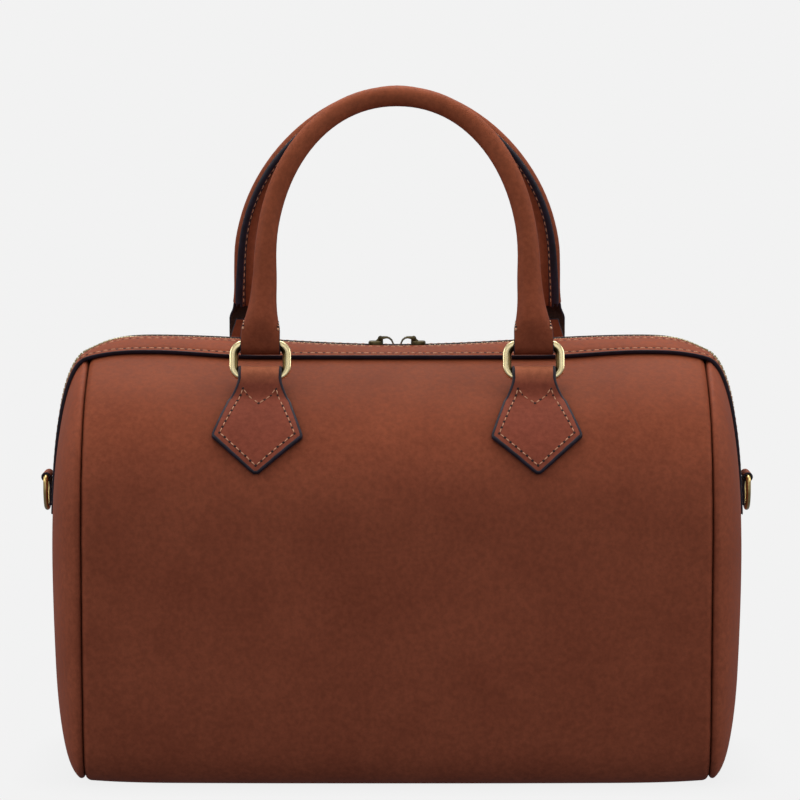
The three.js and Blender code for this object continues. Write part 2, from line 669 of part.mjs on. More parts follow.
// Tab over the zip's lower end, folded round the D-ring's bar.
function endTab(side) {
  const { half, low, rows, columns } = END_TAB;
  const base = [...Array(rows).keys()].map((r) =>
    [...Array(columns).keys()].map((c) => {
      const y = lerp(-half, half, c / (columns - 1));
      const z = lerp(low, D_BAR.z, r / (rows - 1));
      return new THREE.Vector3(side * domeX(y, z), y, z);
    }),
  );
  const band = STRIP.lift + STRIP.thick + END_TAB.lift;
  const leather = wallGeometry(offsetGrid(base, band), offsetGrid(base, band + END_TAB.thick));
  const ring = circle(END_LOOP.outer, 0, 0, new THREE.Shape());
  ring.holes.push(circle(END_LOOP.inner));
  const loop = acrossY(plate(ring, 2 * half, 0, END_LOOP.steps));
  return joined(leather, loop.translate(side * D_BAR.x, 0, D_BAR.z));
}

addPiece("body_wrap", bodyWrap(), LEATHER);
addZip();
HANDLES.forEach(addHandle);
for (const [hand, side] of [["left", -1], ["right", 1]]) {
  addPiece(`end_panel_${hand}`, endPanel(side), LEATHER);
  addPiece(`end_tab_${hand}`, endTab(side), LEATHER_STRAP);
  const ring = addPiece(`d_ring_${hand}`, dRing(), BRASS);
  ring.position.set(side * D_BAR.x, 0, D_BAR.z);
}

export default satchel;
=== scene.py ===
# A cognac leather duffle satchel with rolled handles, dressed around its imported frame.
# Sizes are in millimetres in the frame's axes, with +Z up and the front at -Y. A mesh is written in metres.
import json
import math
from bisect import bisect_right
from functools import lru_cache

import bpy
from mathutils import Matrix, Vector, noise


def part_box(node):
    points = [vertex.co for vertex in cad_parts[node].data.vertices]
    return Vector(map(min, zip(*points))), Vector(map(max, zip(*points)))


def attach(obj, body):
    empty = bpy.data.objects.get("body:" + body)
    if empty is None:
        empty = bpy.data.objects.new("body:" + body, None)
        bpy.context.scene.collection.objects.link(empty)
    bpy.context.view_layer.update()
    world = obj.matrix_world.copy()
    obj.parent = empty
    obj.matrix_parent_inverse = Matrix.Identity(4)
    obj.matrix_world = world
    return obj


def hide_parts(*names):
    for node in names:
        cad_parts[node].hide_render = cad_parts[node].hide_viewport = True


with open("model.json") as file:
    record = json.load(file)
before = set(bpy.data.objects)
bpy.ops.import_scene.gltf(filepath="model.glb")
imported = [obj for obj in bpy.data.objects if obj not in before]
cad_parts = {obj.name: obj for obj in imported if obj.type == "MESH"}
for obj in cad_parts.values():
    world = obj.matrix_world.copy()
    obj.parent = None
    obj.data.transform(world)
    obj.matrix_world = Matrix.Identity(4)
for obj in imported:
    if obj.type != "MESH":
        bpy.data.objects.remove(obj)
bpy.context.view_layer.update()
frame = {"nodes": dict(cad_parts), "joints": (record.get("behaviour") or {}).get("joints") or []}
MM = 0.001
TOUCH = 0.1  # places nearer than this are one

# Camera: square to the front, a little above the lid
CAMERA_PLACE = (1.4, -2000, 330)
CAMERA_PITCH = math.radians(4.455)
LENS = 189.4
SENSOR = 36
CAMERA_REACH = 50000

# Body, as it was cut: half of the middle section, from the crown down to the floor.
# Each row is a Bezier curve from the row above to (y, z), after its two control points.
CROWN = (0, 198.3)
SECTION = (
    (5, 198.3, 10, 198.1, 14, 197.6),  # lid, to the edge of the mouth
    (17, 197.1, 19.5, 196.75, 22.5, 195.65),  # hem under the strip
    (50, 185.6, 87, 170, 86.5, 122),  # shoulder
    (86, 84, 84.5, 42, 78.5, 17),  # wall
    (75.5, 6, 69, 0, 60, 0),  # heel
    (40, 0, 20, 0, 0, 0),  # floor
)
CURVE_STEPS = 24
SLOPE_STEP = 0.6  # the section's slope is read this far up and down
SEAM_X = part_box("end_panel_right")[0].x / MM  # the end seams lie in this plane, left and right
END_DEPTH_LOSS = 0.045  # share of the depth that is lost at the seams, by a power of x
END_DEPTH_POWER = 2.5
LID_PEAK_X = 118  # the lid stands highest here, left and right
LID_SAG = 4.6  # the zip hangs this much lower at the middle than at the two peaks
LID_END_FALL = 6.5  # and falls this much from a peak to its seam
HEM_SAG = 2.8  # the strips' outer edges hang less, and lie flat over this share of the way to a peak
HEM_FLAT = 0.55
HEM_END_FALL = 2.8
HEM_Z = 195
LID_LOW_Z = 118
LID_HIGH_Z = 192
FLOOR_LIFT = 1.3  # the floor lifts this much at the seams, from its flat middle
FLOOR_FLAT_X = 95
FLOOR_FADE_Z = 18
END_BULGE = 17.2
DOME_Z = 78  # height of the dome's middle
DOME_POWER_TOP = 3.5
DOME_POWER_LOW = 1.95
BODY_WALL = 1.7
SHEET_ROUND = 0.35  # the cut edges of the leather are rounded off
EDGE_STEPS = 2
GRID = 3.2  # spacing of the leather's grid points
SEAM_ROLL = 3  # both panels roll in to a turned seam on this radius
ROLL_STEPS = 7
ROLL_END = math.radians(84)
END_ROWS = 26
END_ROW_POWER = 1.5  # the rows crowd at the seam

# Slack in the leather: slow waves over the panels and small puckers beside the end seams.
# It grows over the heel and fades out under the strips, and on an end panel it grows in from the seam.
WAVE_LENGTH = 62
WAVE_HEIGHT = 0.55
PUCKER_LENGTH = 8
PUCKER_WIDTH = 40
PUCKER_HEIGHT = 0.4
PUCKER_REACH = 7
PUCKER_SEED = 5
SLACK_GROWS = (3, 30)
SLACK_FADES = (166, 190)
END_WAVE_SEED = 9
END_WAVE_GROWS = (0.05, 0.3)  # shares of the way from the seam to the slit

# Zip band over the mouth and down both ends
MOUTH_HALF = 14
BAND_END_Z = 122
ZIP_END_Z = 130  # the tape and the teeth end here, behind the end tabs
SLIT_LOW = 124.5  # the slit in an end panel ends in a curve of this depth
SLIT_FOOT = 4
BAND_SMOOTHING = 8
BAND_END_STEPS = 44
BAND_LID_STEPS = 116
BAND_BESIDE = 0.5  # a line this far beside gives a band line its outward side
STRIP_INNER = 5
STRIP_OUTER = 24.4
STRIP_LIFT = 0.45
STRIP_THICK = 1.9
STRIP_SINK = 0.8  # on the ends the strips are let in to the panels this deep
STRIP_SINKS = (-3, 12)  # from here to there past the seam
STRIP_SHARES = (0, 0.05, 0.1, 0.16, 0.21, 0.26, 0.36, 0.48, 0.6, 0.72, 0.8, 0.85, 0.9, 1)
STRIP_SEWN = (0.21, 0.85)  # the two stitch rows, as shares of the strip's width
STRIP_DIMPLE = 0.22
STRIP_SHIFT = 0.8  # towards the corners the inner stitch row lies further from the zip
STRIP_SHIFTS = (45, 85)  # from here to there along the bag
TAPE_HALF = 12.6
TAPE_THICK = 1
TAPE_COLUMNS = 10
TAPE_ROUND = 0.2
TOOTH_PITCH = 2.5
TOOTH_SIZE = (1.15, 3.3, 1.7)  # along the zip, across it and out
TOOTH_ASIDE = 0.95
TOOTH_LIFT = 1.15
TOOTH_BEVEL = 0.16  # share of a tooth's size
CORNER_LIFT = 0.7  # where the zip bends at the corners its teeth stand this much prouder
CORNER_X = (118, 138)
CORNER_Z = (150, 178)
SLIDER_FROM = 5.8
SLIDER_TO = 14.4
SLIDER_ROUND = 0.3
PULL_ROUND = 0.22

# Handles in their own leaning planes, with the ring's lower bar at height 0 and depth 0
LEAN = math.radians(17)
RING_WIDE = 28.7
RING_TALL = 18.7
RING_BAR = 4.1
RING_DEEP = 4
RING_CORNER = 6.6
RING_SLOPE = 1.5  # the inner front edge slopes in
RING_ROUND = 1
RING_CORNER_STEPS = 8
RING_ROUND_STEPS = 4
RING_PITCH = RING_TALL - RING_BAR
STRAP_HALF = 9.2
LOOP_RADIUS = 4.5  # outside of a strap folded round a ring's bar
HANDLE_THICK = 1.3
ROLL_COLUMNS = 20  # on each side of the roll's outer line
STRAP_COLUMNS = 9  # of them, these go on below the roll as the flat strap
FLANGE_SHARE = 0.75
FLANGE_HALF = ((0, 1.9), (20, 1.9), (60, 1.4), (110, 1.25))
FLANGE_HEIGHT = 2.3
FLANGE_PAINT_HALF = 0.8
FLANGE_SEWN = 0.55  # share of the flange's height
FOOT_BOW = 2.4  # the strap's edges curl back this far before it rolls up
FLAT_TO = 6  # rise over the strap's flat part where it starts to curl
LIP_AT = 15  # and where the roll is cut off square on its inner side
FOOT_WIDE = ((0, 9.2), (8.4, 9.2), (11.4, 8), (14.5, 7.25), (21.7, 6.2), (38.8, 5.3), (55, 4.8))
FOOT_THICK = ((0, 4.5), (6, 4.1), (12, 4.2), (18, 4.5), (24, 4.8), (60, 4.8))
FOOT_FRONT = ((0, 4.5), (4, 6.5), (8, 7.5), (11, 7.7), (16, 6.8), (22, 5.6), (30, 4.8), (60, 4.8))
FOOT_SQUARE = ((0, 0.4), (8, 0.55), (13, 0.75), (18, 0.9), (24, 1), (60, 1))
TONGUE_DEPTH = ((0, 4.5), (2.5, 3.6), (5, 1.6), (7, 0.6))
TONGUE_HALF = ((0, 9.2), (2.5, 8.4), (5, 6.8), (7, 5.6))
TONGUE_ROWS = 9
TONGUE_LOW = 1  # the tongue's rows end this far over the ring's upper bar
LOOP_STEPS = 14
LEG_STEP = 1.9
ARCH_STEPS = 56
FOOT_EASE = 2.5  # corners in a table are rounded off over this length
TONGUE_EASE = 1
TWIST_EASE = 6
FACES_DOWN = -0.5  # a face with less than this of its normal upward faces down
# An arch is half of a superellipse: a curve of 1 is an ellipse, less has fuller shoulders.
# A strap lies flat for a while over its ring. The back roll is twisted so that its seam faces outward,
# in degrees over its rise.
HANDLES = {
    "front": {
        "pivot": (54, 189.6), "turn": 0, "foot": 63.4, "flat": 0, "twist": ((0, 0), (1, 0)),
        "arch_half": 61.5, "arch_rise": 81.9, "arch_base": 53.1, "curve": 0.955,
    },
    "back": {
        "pivot": (61.5, 184.6), "turn": math.pi, "foot": 73, "flat": 5,
        "twist": ((15, 34), (44, 12), (67, 19), (85, 23)),
        "arch_half": 73.85, "arch_rise": 80.5, "arch_base": 59.9, "curve": 1.1,
    },
}

# Kite tabs: two layers that lie on the panel and fold round the ring's lower bar
KITE_LIFT = 0.35
KITE_THICK = 1.4
KITE_TIP = 49.5
KITE_NECK = 11.5
KITE_WIDEST = (31.6, 32.8)
KITE_HALF = ((-9, 9.1), (4.4, 9.1), (8.3, 11.3), (13, 13.9), (17.5, 15.2), (KITE_WIDEST[0], 19.9),
             (KITE_WIDEST[1], 19.9), (48.3, 2.3), (KITE_TIP, 0.7))
KITE_COLUMNS = 14
KITE_TOP = 0.5
KITE_UPPER_ROWS = 26
KITE_LOWER_ROWS = 16
FOLD_FACES = (0.8, 0.55)  # the top of the fold faces in over the lid and up
KITE_SPLAY = 0.025  # the tips lean this share of the drop away from the middle of the bag
KITE_SEAM_STEPS = 12
KITE_SEAM = ((7.3, -7.7), (14.4, 0), (7.3, 7.7), (31.6, 17.2), (46.9, 0), (31.6, -17.2))
KITE_PAINT_HALF = 1  # the painted edge is a low bead over both layers
KITE_PAINT_TURN = math.radians(110)  # and goes this far round the fold
KITE_PAINT_STEPS = 8
KITE_LAYERS_MEET = 2  # below this drop the bead grows from one layer to both
PAINT_HEIGHT = 1.08  # share of the edge's thickness
PAINT_STEPS = 10
SEAT_REACH = 80  # a ring's seat is looked for this far below the hem
SEAT_STEPS = 320

# Tabs at the zip's lower ends, folded round the D-rings
D_AXIS = Vector(next(j["pos_m"] for j in frame["joints"] if j["name"] == "right_d_ring_swing")) / MM
D_WIRE = 1.2
D_HALF = 11
D_DROP = 15.4
D_CORNER = 2.4
D_BOW = 0.9  # the bow is this share of the half width deep
D_BAR_STEPS = 8
D_CORNER_STEPS = 5
D_BOW_STEPS = 30
D_WIRE_STEPS = 14
END_TAB_HALF = 9.2
END_TAB_LOW = 124.6
END_TAB_THICK = 1
END_TAB_OVER = 3.5  # over the dome, on top of the strips
END_TAB_MARGIN = 1.8
END_TAB_CLEAR = 5  # its flat part ends this far below the ring's bar
END_TAB_ROUND = 0.25
END_TAB_COLUMNS = 10
END_TAB_ROWS = 6
END_TAB_UP = 0.6  # its middle faces out, and up by this share
END_LOOP = 2.3
END_LOOP_FROM = math.radians(-125)
END_LOOP_TO = math.radians(185)
END_LOOP_STEPS = 22

# Thread
STITCH_LONG = 0.65  # share of the pitch
STITCH_WIDE = 0.6
STITCH_HIGH = 0.6
STITCH_LIFT = 0.08
HOLE_WIDE = 1.3
HOLE_HIGH = 0.42
KNOT_SIZE = (1.5, 1.5, 1)
STRIP_PITCH = 3.6
KITE_PITCH = 3.5
HANDLE_PITCH = 3.3
END_TAB_PITCH = 2.8
TACK_PITCH = 2.2
TACK_FROM = 5.4
TACK_TO = 12

# Angles between faces, in degrees
SMOOTH_UNDER = 45  # shaded as one surface
ROUND_SMOOTH_UNDER = 60  # the same on tubes and rings
SHEET_EDGE_OVER = 55  # rounded as an edge
RING_EDGE_OVER = 30
CAD_EDGE_OVER = 35
CAD_FLAT_UNDER = 3

# Points nearer than this are merged
SEAM_MERGE = 0.01
CAD_MERGE = 0.02

# Order of the finishes on a sheet and on a ring
GRAIN_SIDE = 0
CUT_EDGE = 1
INNER_SLOPE = 1

# Painted light and shade on the leather. Painted shade darkens crevices narrower than this, to this share.
PAINTED_SHADE_REACH = 12
PAINTED_CREVICE_SHADE = 0.5
# A tone of painted light or shade changes between two heights, to a share of each colour.
SHOULDER_PAINTED_SHADE = (148, 184, (0.86, 0.83, 0.74, 1))  # painted shade: the shoulders are darker
FOLD_PAINTED_LIGHT = (186, 193, (1.9, 2.4, 2.1, 1))  # painted light on the top of each tab's fold over its ring
HANDLE_TOP_PAINTED_LIGHT = (205, 325, (1.42, 1.55, 1.5, 1))  # painted light: the handles grow paler towards their tops

# Pattern sizes of the finishes
DYE_CLOUD = 38
DYE_FLECK = 2.4
CREASE = 17
BODY_GRAIN = 1.3
STRAP_GRAIN = 1.1
NAP_FIBRE = 0.8
PAINT_RIPPLE = 3
THREAD_PLY = 0.5
HOLE_MOTTLE = 0.6
BRASS_CLOUD = 5
SCRATCH = (0.5, 0.5, 4)
TAPE_RIB = 0.9

# Stage, with the lights in metres and watts
BACKDROP = "#f2f2f2"
FLOOR_SIZE = 40000
FLOOR_SHADE = 0.06  # share of the shade close under the bag
FLOOR_SHADE_REACH = 30
ROOM_LOW = (0.155, 0.17, 0.22, 1)
ROOM_HIGH = 0.75
ROOM_RISES = (0.3, 1)
LIGHTS_AIM = (0, 0, 0.15)
LIGHTS = (
    ("overhead_softbox", (0, 0.42, 1.25), 1.15, 15),
    ("front_softbox", (0, -2.4, 0.7), 1.6, 5.7),
    ("left_softbox", (-1.7, -0.2, 0.95), 1.2, 12),
    ("right_softbox", (1.7, -0.2, 0.95), 1.2, 12),
)


def lerp(a, b, share):
    return a + (b - a) * share


def steps(start, stop, count):
    return [lerp(start, stop, i / count) for i in range(count + 1)]


def smoothstep(value, low, high):
    share = min(1, max(0, (value - low) / (high - low)))
    return share * share * (3 - 2 * share)


def read_off(table, at):
    """Value at a place in a short table of (place, value) rows, in straight lines between them."""
    i = min(max(bisect_right([row[0] for row in table], at), 1), len(table) - 1)
    (low, first), (high, last) = table[i - 1], table[i]
    return lerp(first, last, min(1, max(0, (at - low) / (high - low))))


def read_smooth(table, at, reach=FOOT_EASE):
    """The same, with the corners between the rows rounded off."""
    return sum(read_off(table, at + reach * k / 2) for k in (-2, -1, 0, 1, 2)) / 5


def mirrored(place):
    """The same place on the other half of the bag."""
    return Vector((-place.x, place.y, place.z))


def running_length(line):
    lengths = [0]
    for a, b in zip(line, line[1:]):
        lengths.append(lengths[-1] + (b - a).length)
    return lengths


# The body's outer surface

def section_curve():
    points = [Vector(CROWN)]
    for c1y, c1z, c2y, c2z, y, z in SECTION:
        start, near, far, end = points[-1], Vector((c1y, c1z)), Vector((c2y, c2z)), Vector((y, z))
        for t in steps(0, 1, CURVE_STEPS)[1:]:
            s = 1 - t
            points.append(start * s**3 + near * 3 * s * s * t + far * 3 * s * t * t + end * t**3)
    return points


section_line = section_curve()
section_lengths = running_length(section_line)
SECTION_END = section_lengths[-1]
MOUTH_AT = section_lengths[CURVE_STEPS]
HEM_AT = section_lengths[2 * CURVE_STEPS]


def section_at(length):
    i = min(max(bisect_right(section_lengths, length), 1), len(section_line) - 1)
    low, high = section_lengths[i - 1], section_lengths[i]
    return section_line[i - 1].lerp(section_line[i], (length - low) / (high - low))


def section_out(length, side):
    run = section_at(min(length + SLOPE_STEP, SECTION_END)) - section_at(max(length - SLOPE_STEP, 0))
    return Vector((0, -side * run.y, run.x)).normalized()


def depth_share(x):
    return 1 - END_DEPTH_LOSS * (abs(x) / SEAM_X) ** END_DEPTH_POWER


def lid_rise(x, z):
    """How much higher the lid stands at x than at the middle of the bag, for a height in the section."""
    far = min(abs(x) / LID_PEAK_X, 1)
    zip_line = LID_SAG * math.sin(math.pi / 2 * far) ** 2
    hem_line = HEM_SAG * math.sin(math.pi / 2 * max(0, (far - HEM_FLAT) / (1 - HEM_FLAT))) ** 2
    past = max(0, (abs(x) - LID_PEAK_X) / (SEAM_X - LID_PEAK_X))
    zip_line -= LID_END_FALL * past**3
    hem_line -= HEM_END_FALL * past**3
    return lerp(hem_line, zip_line, smoothstep(z, HEM_Z, CROWN[1])) * smoothstep(z, LID_LOW_Z, LID_HIGH_Z)


def body_point(x, side, point):
    y, z = point
    lid = lid_rise(x, z)
    past = max(0, (abs(x) - FLOOR_FLAT_X) / (SEAM_X - FLOOR_FLAT_X))
    floor = FLOOR_LIFT * past**3 * (1 - smoothstep(z, 0, FLOOR_FADE_Z))
    return Vector((x, side * y * depth_share(x), z + lid + floor))


def slack(x, side, length, z):
    """How far the leather stands out of its cut shape. It lies true on the floor and under the strips."""
    wave = WAVE_HEIGHT * noise.noise(Vector((x, side * length, 0)) / WAVE_LENGTH)
    beside = math.exp(-(SEAM_X - abs(x)) / PUCKER_REACH)
    spot = Vector((x / PUCKER_WIDTH, side * length / PUCKER_LENGTH, PUCKER_SEED))
    pucker = PUCKER_HEIGHT * beside * noise.noise(spot)
    return (wave + pucker) * smoothstep(z, *SLACK_GROWS) * (1 - smoothstep(z, *SLACK_FADES))


def panel_point(x, side, length, height):
    """A point over the front or back panel, at a length down the section from the crown."""
    base = body_point(x, side, section_at(length))
    return base + section_out(length, side) * (height + slack(x, side, length, base.z))


def lid_height(x, y):
    across = abs(y) / depth_share(x)
    i = next(i for i, p in enumerate(section_line) if p.x > across)
    a, b = section_line[i - 1], section_line[i]
    z = lerp(a.y, b.y, (across - a.x) / (b.x - a.x))
    return z + lid_rise(x, z)


def dome_turn(y, z):
    return math.atan2(abs(y), z - DOME_Z)


def dome_power(y, z):
    """A high power gives full shoulders at the top of the dome, and a low one slopes in to the floor."""
    return lerp(DOME_POWER_LOW, DOME_POWER_TOP, (1 + math.cos(dome_turn(y, z))) / 2)


seam_outline = [body_point(SEAM_X, 1, p) for p in section_line]
seam_turns = [dome_turn(p.y, p.z) for p in seam_outline]
seam_reaches = [math.hypot(p.y, p.z - DOME_Z) for p in seam_outline]


def dome_x(y, z):
    """How far an end panel stands from the middle of the bag."""
    reach = read_off(tuple(zip(seam_turns, seam_reaches)), dome_turn(y, z))
    share = min(1, math.hypot(y, z - DOME_Z) / reach)
    return SEAM_X + END_BULGE * math.sqrt(1 - share ** dome_power(y, z))


@lru_cache(None)
def band_line(y, end_z=BAND_END_Z):
    """The body's surface along the zip, at a distance y from its middle, from left foot to right foot."""
    top = lid_height(SEAM_X, y)
    end = []
    for share in steps(0, 1, BAND_END_STEPS)[:-1]:
        z = lerp(end_z, top, 1 - (1 - share) ** 2)
        end.append(Vector((dome_x(y, z), y, z)))
    lid = [Vector((x, y, lid_height(x, y))) for x in steps(-SEAM_X, SEAM_X, BAND_LID_STEPS)]
    line = [mirrored(p) for p in end] + lid + end[::-1]
    for _ in range(BAND_SMOOTHING):
        inner = [(a + b * 2 + c) / 4 for a, b, c in zip(line, line[1:], line[2:])]
        line = [line[0]] + inner + [line[-1]]
    return line


@lru_cache(None)
def band_outs(y, end_z=BAND_END_Z):
    """Outward directions along a band line."""
    line, beside = band_line(y, end_z), band_line(y + BAND_BESIDE, end_z)
    outs = []
    for i, point in enumerate(line):
        along = line[min(i + 1, len(line) - 1)] - line[max(i - 1, 0)]
        outs.append(along.cross(beside[i] - point).normalized())
    return outs


# Making meshes

def apply_modifier(piece, kind, **settings):
    bpy.context.view_layer.objects.active = piece
    modifier = piece.modifiers.new(kind.lower(), kind)
    for name, value in settings.items():
        setattr(modifier, name, value)
    bpy.ops.object.modifier_apply(modifier=modifier.name)


def pick(piece):
    bpy.ops.object.select_all(action="DESELECT")
    piece.select_set(True)
    bpy.context.view_layer.objects.active = piece


def open_for_editing(piece):
    pick(piece)
    bpy.ops.object.mode_set(mode="EDIT")
    bpy.ops.mesh.select_all(action="SELECT")


def close_editing():
    bpy.ops.object.mode_set(mode="OBJECT")


def smooth_by_angle(piece, degrees=SMOOTH_UNDER):
    pick(piece)
    bpy.ops.object.shade_smooth_by_angle(angle=math.radians(degrees))


def laid_grid(name, places):
    """A flat grid with one vertex for each place, moved there."""
    bpy.ops.object.select_all(action="DESELECT")
    columns, rows = len(places[0]) - 1, len(places) - 1
    bpy.ops.mesh.primitive_grid_add(x_subdivisions=columns, y_subdivisions=rows, size=1)
    piece = bpy.context.object
    piece.name = piece.data.name = name
    for vertex, place in zip(piece.data.vertices, (p for row in places for p in row)):
        vertex.co = place * MM
    piece.data.update()
    return piece


def cut_away(piece, faces):
    open_for_editing(piece)
    bpy.ops.mesh.select_mode(type="FACE")
    bpy.ops.mesh.select_all(action="DESELECT")
    close_editing()
    for i in faces:
        piece.data.polygons[i].select = True
    bpy.ops.object.mode_set(mode="EDIT")
    bpy.ops.mesh.delete(type="FACE")
    bpy.ops.mesh.select_mode(type="VERT")
    close_editing()


def sewn_sheet(name, places, faces, thick, finishes, rounding=SHEET_ROUND, cut=()):
    """A sheet laid over its places, whose middle faces a given way, with its thickness and rounded edges.
    The finishes are the grain side, the cut edge and the flesh side. Some faces may be cut away first."""
    piece = laid_grid(name, places)
    rows, columns = len(places) - 1, len(places[0]) - 1
    middle = piece.data.polygons[rows // 2 * columns + columns // 2]
    if middle.normal.dot(Vector(faces)) < 0:
        open_for_editing(piece)
        bpy.ops.mesh.flip_normals()
        close_editing()
    if cut:
        cut_away(piece, cut)
    for finish in finishes:
        piece.data.materials.append(finish)
    inside, rim = len(finishes) - 1, min(CUT_EDGE, len(finishes) - 1)
    apply_modifier(piece, "SOLIDIFY", thickness=thick * MM, offset=-1, use_quality_normals=True,
                   material_offset=inside, material_offset_rim=rim)
    apply_modifier(piece, "BEVEL", width=rounding * MM, segments=EDGE_STEPS, limit_method="ANGLE",
                   angle_limit=math.radians(SHEET_EDGE_OVER), material=rim)
    smooth_by_angle(piece)
    return piece


def tube(name, rings, finish):
    """A tube through closed rings of points, with its ends filled."""
    piece = laid_grid(name, rings)
    open_for_editing(piece)
    bpy.ops.mesh.remove_doubles(threshold=SEAM_MERGE * MM)
    bpy.ops.mesh.fill_holes(sides=0)
    bpy.ops.mesh.normals_make_consistent(inside=False)
    close_editing()
    piece.data.materials.append(finish)
    smooth_by_angle(piece, ROUND_SMOOTH_UNDER)
    return piece


def painted_bead(name, lows, highs, half):
    """A rounded bead of edge paint along a cut edge, given the edge's lower and upper lines."""
    middles = [(low + high) / 2 for low, high in zip(lows, highs)]
    last = len(middles) - 1
    rings = []
    for i, (low, high) in enumerate(zip(lows, highs)):
        along = middles[min(i + 1, last)] - middles[max(i - 1, 0)]
        up = (high - low) * PAINT_HEIGHT / 2
        out = along.cross(up).normalized() * half
        turns = steps(0, 2 * math.pi, PAINT_STEPS)
        rings.append([middles[i] + out * math.cos(a) + up * math.sin(a) for a in turns])
    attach(tube(name, rings, PAINT), "bag")


def hand_over(piece, node, body="bag"):
    """The piece rides on its body and stands for its node."""
    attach(piece, body)
    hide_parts(node)


def small_form(add_primitive, shape=None, **sizes):
    """Points and faces of a small shape that is modelled once and then repeated."""
    bpy.ops.object.select_all(action="DESELECT")
    add_primitive(**sizes)
    piece = bpy.context.object
    if shape:
        open_for_editing(piece)
        shape()
        close_editing()
    form = [v.co.copy() for v in piece.data.vertices], [list(f.vertices) for f in piece.data.polygons]
    bpy.data.objects.remove(piece)
    return form


def set_down(place, along, out, size):
    """Places a small form: its X along a line, its Y across it and its Z outward, stretched to a size."""
    across = out.cross(along).normalized()
    turn = Matrix((along, across, across.cross(along) * -1)).transposed().to_4x4()
    return Matrix.Translation(place * MM) @ turn @ Matrix.Diagonal((*[s * MM for s in size], 1))


def repeat(name, groups, finishes):
    """One mesh of many copies. Each group is a form, its matrices and the index of its finish."""
    points, faces, looks = [], [], []
    for (form_points, form_faces), matrices, look in groups:
        for matrix in matrices:
            start = len(points)
            points += [matrix @ p for p in form_points]
            faces += [[start + i for i in face] for face in form_faces]
            looks += [look] * len(form_faces)
    mesh = bpy.data.meshes.new(name)
    mesh.from_pydata(points, [], faces)
    mesh.polygons.foreach_set("material_index", looks)
    for finish in finishes:
        mesh.materials.append(finish)
    piece = bpy.data.objects.new(name, mesh)
    bpy.context.scene.collection.objects.link(piece)
    smooth_by_angle(piece)
    return piece


def walk(line, outs, pitch):
    """Places a pitch apart along a line, each with its direction and its outward side."""
    lengths = running_length(line)
    count = max(1, round(lengths[-1] / pitch))
    found = []
    for k in range(count):
        at = lengths[-1] * ((k + 0.5) / count)
        i = min(max(bisect_right(lengths, at), 1), len(line) - 1)
        share = (at - lengths[i - 1]) / (lengths[i] - lengths[i - 1])
        along = (line[i] - line[i - 1]).normalized()
        out = outs[i - 1].lerp(outs[i], share).normalized()
        found.append((line[i - 1].lerp(line[i], share), along, out))
    return found


def sew(name, stations, pitch, knots=()):
    """A row of saddle stitches, half sunk in the leather, with the needle's hole between each two."""
    size = (pitch * STITCH_LONG, STITCH_WIDE, STITCH_HIGH)
    threads = [set_down(p + out * STITCH_LIFT, along, out, size) for p, along, out in stations]
    threads += [set_down(p, along, out, KNOT_SIZE) for p, along, out in knots]
    hole = (HOLE_WIDE, HOLE_WIDE, HOLE_HIGH)
    holes = [set_down(p + along * pitch / 2, along, out, hole) for p, along, out in stations]
    piece = repeat(name, [(STITCH, threads, 0), (STITCH, holes, 1)], [THREAD, NEEDLE_HOLE])
    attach(piece, "bag")


# Finishes

def linear(colour):
    """Linear values of an sRGB hex colour."""
    parts = [int(colour[i:i + 2], 16) / 255 for i in (1, 3, 5)]
    return (*[p / 12.92 if p <= 0.04045 else ((p + 0.055) / 1.055) ** 2.4 for p in parts], 1)


def grey(value):
    return (value, value, value, 1)


def every(size):
    """Texture scale for a pattern of this size in millimetres."""
    return 1 / (size * MM)


def add_node(tree, kind, sockets=None, stops=(), **settings):
    """A node with its settings. A socket takes a value, or another node's output as a link.
    A colour ramp also takes its stops, each a place and a colour."""
    made = tree.nodes.new(kind)
    for name, value in settings.items():
        setattr(made, name, value)
    for name, value in (sockets or {}).items():
        if isinstance(value, bpy.types.NodeSocket):
            tree.links.new(value, made.inputs[name])
        else:
            made.inputs[name].default_value = value
    for i, (place, colour) in enumerate(stops):
        made.color_ramp.elements[i].position = place
        made.color_ramp.elements[i].color = colour
    return made


def new_finish(name):
    finish = bpy.data.materials.new(name)
    finish.use_nodes = True
    tree = finish.node_tree
    return finish, tree, tree.nodes["Principled BSDF"]


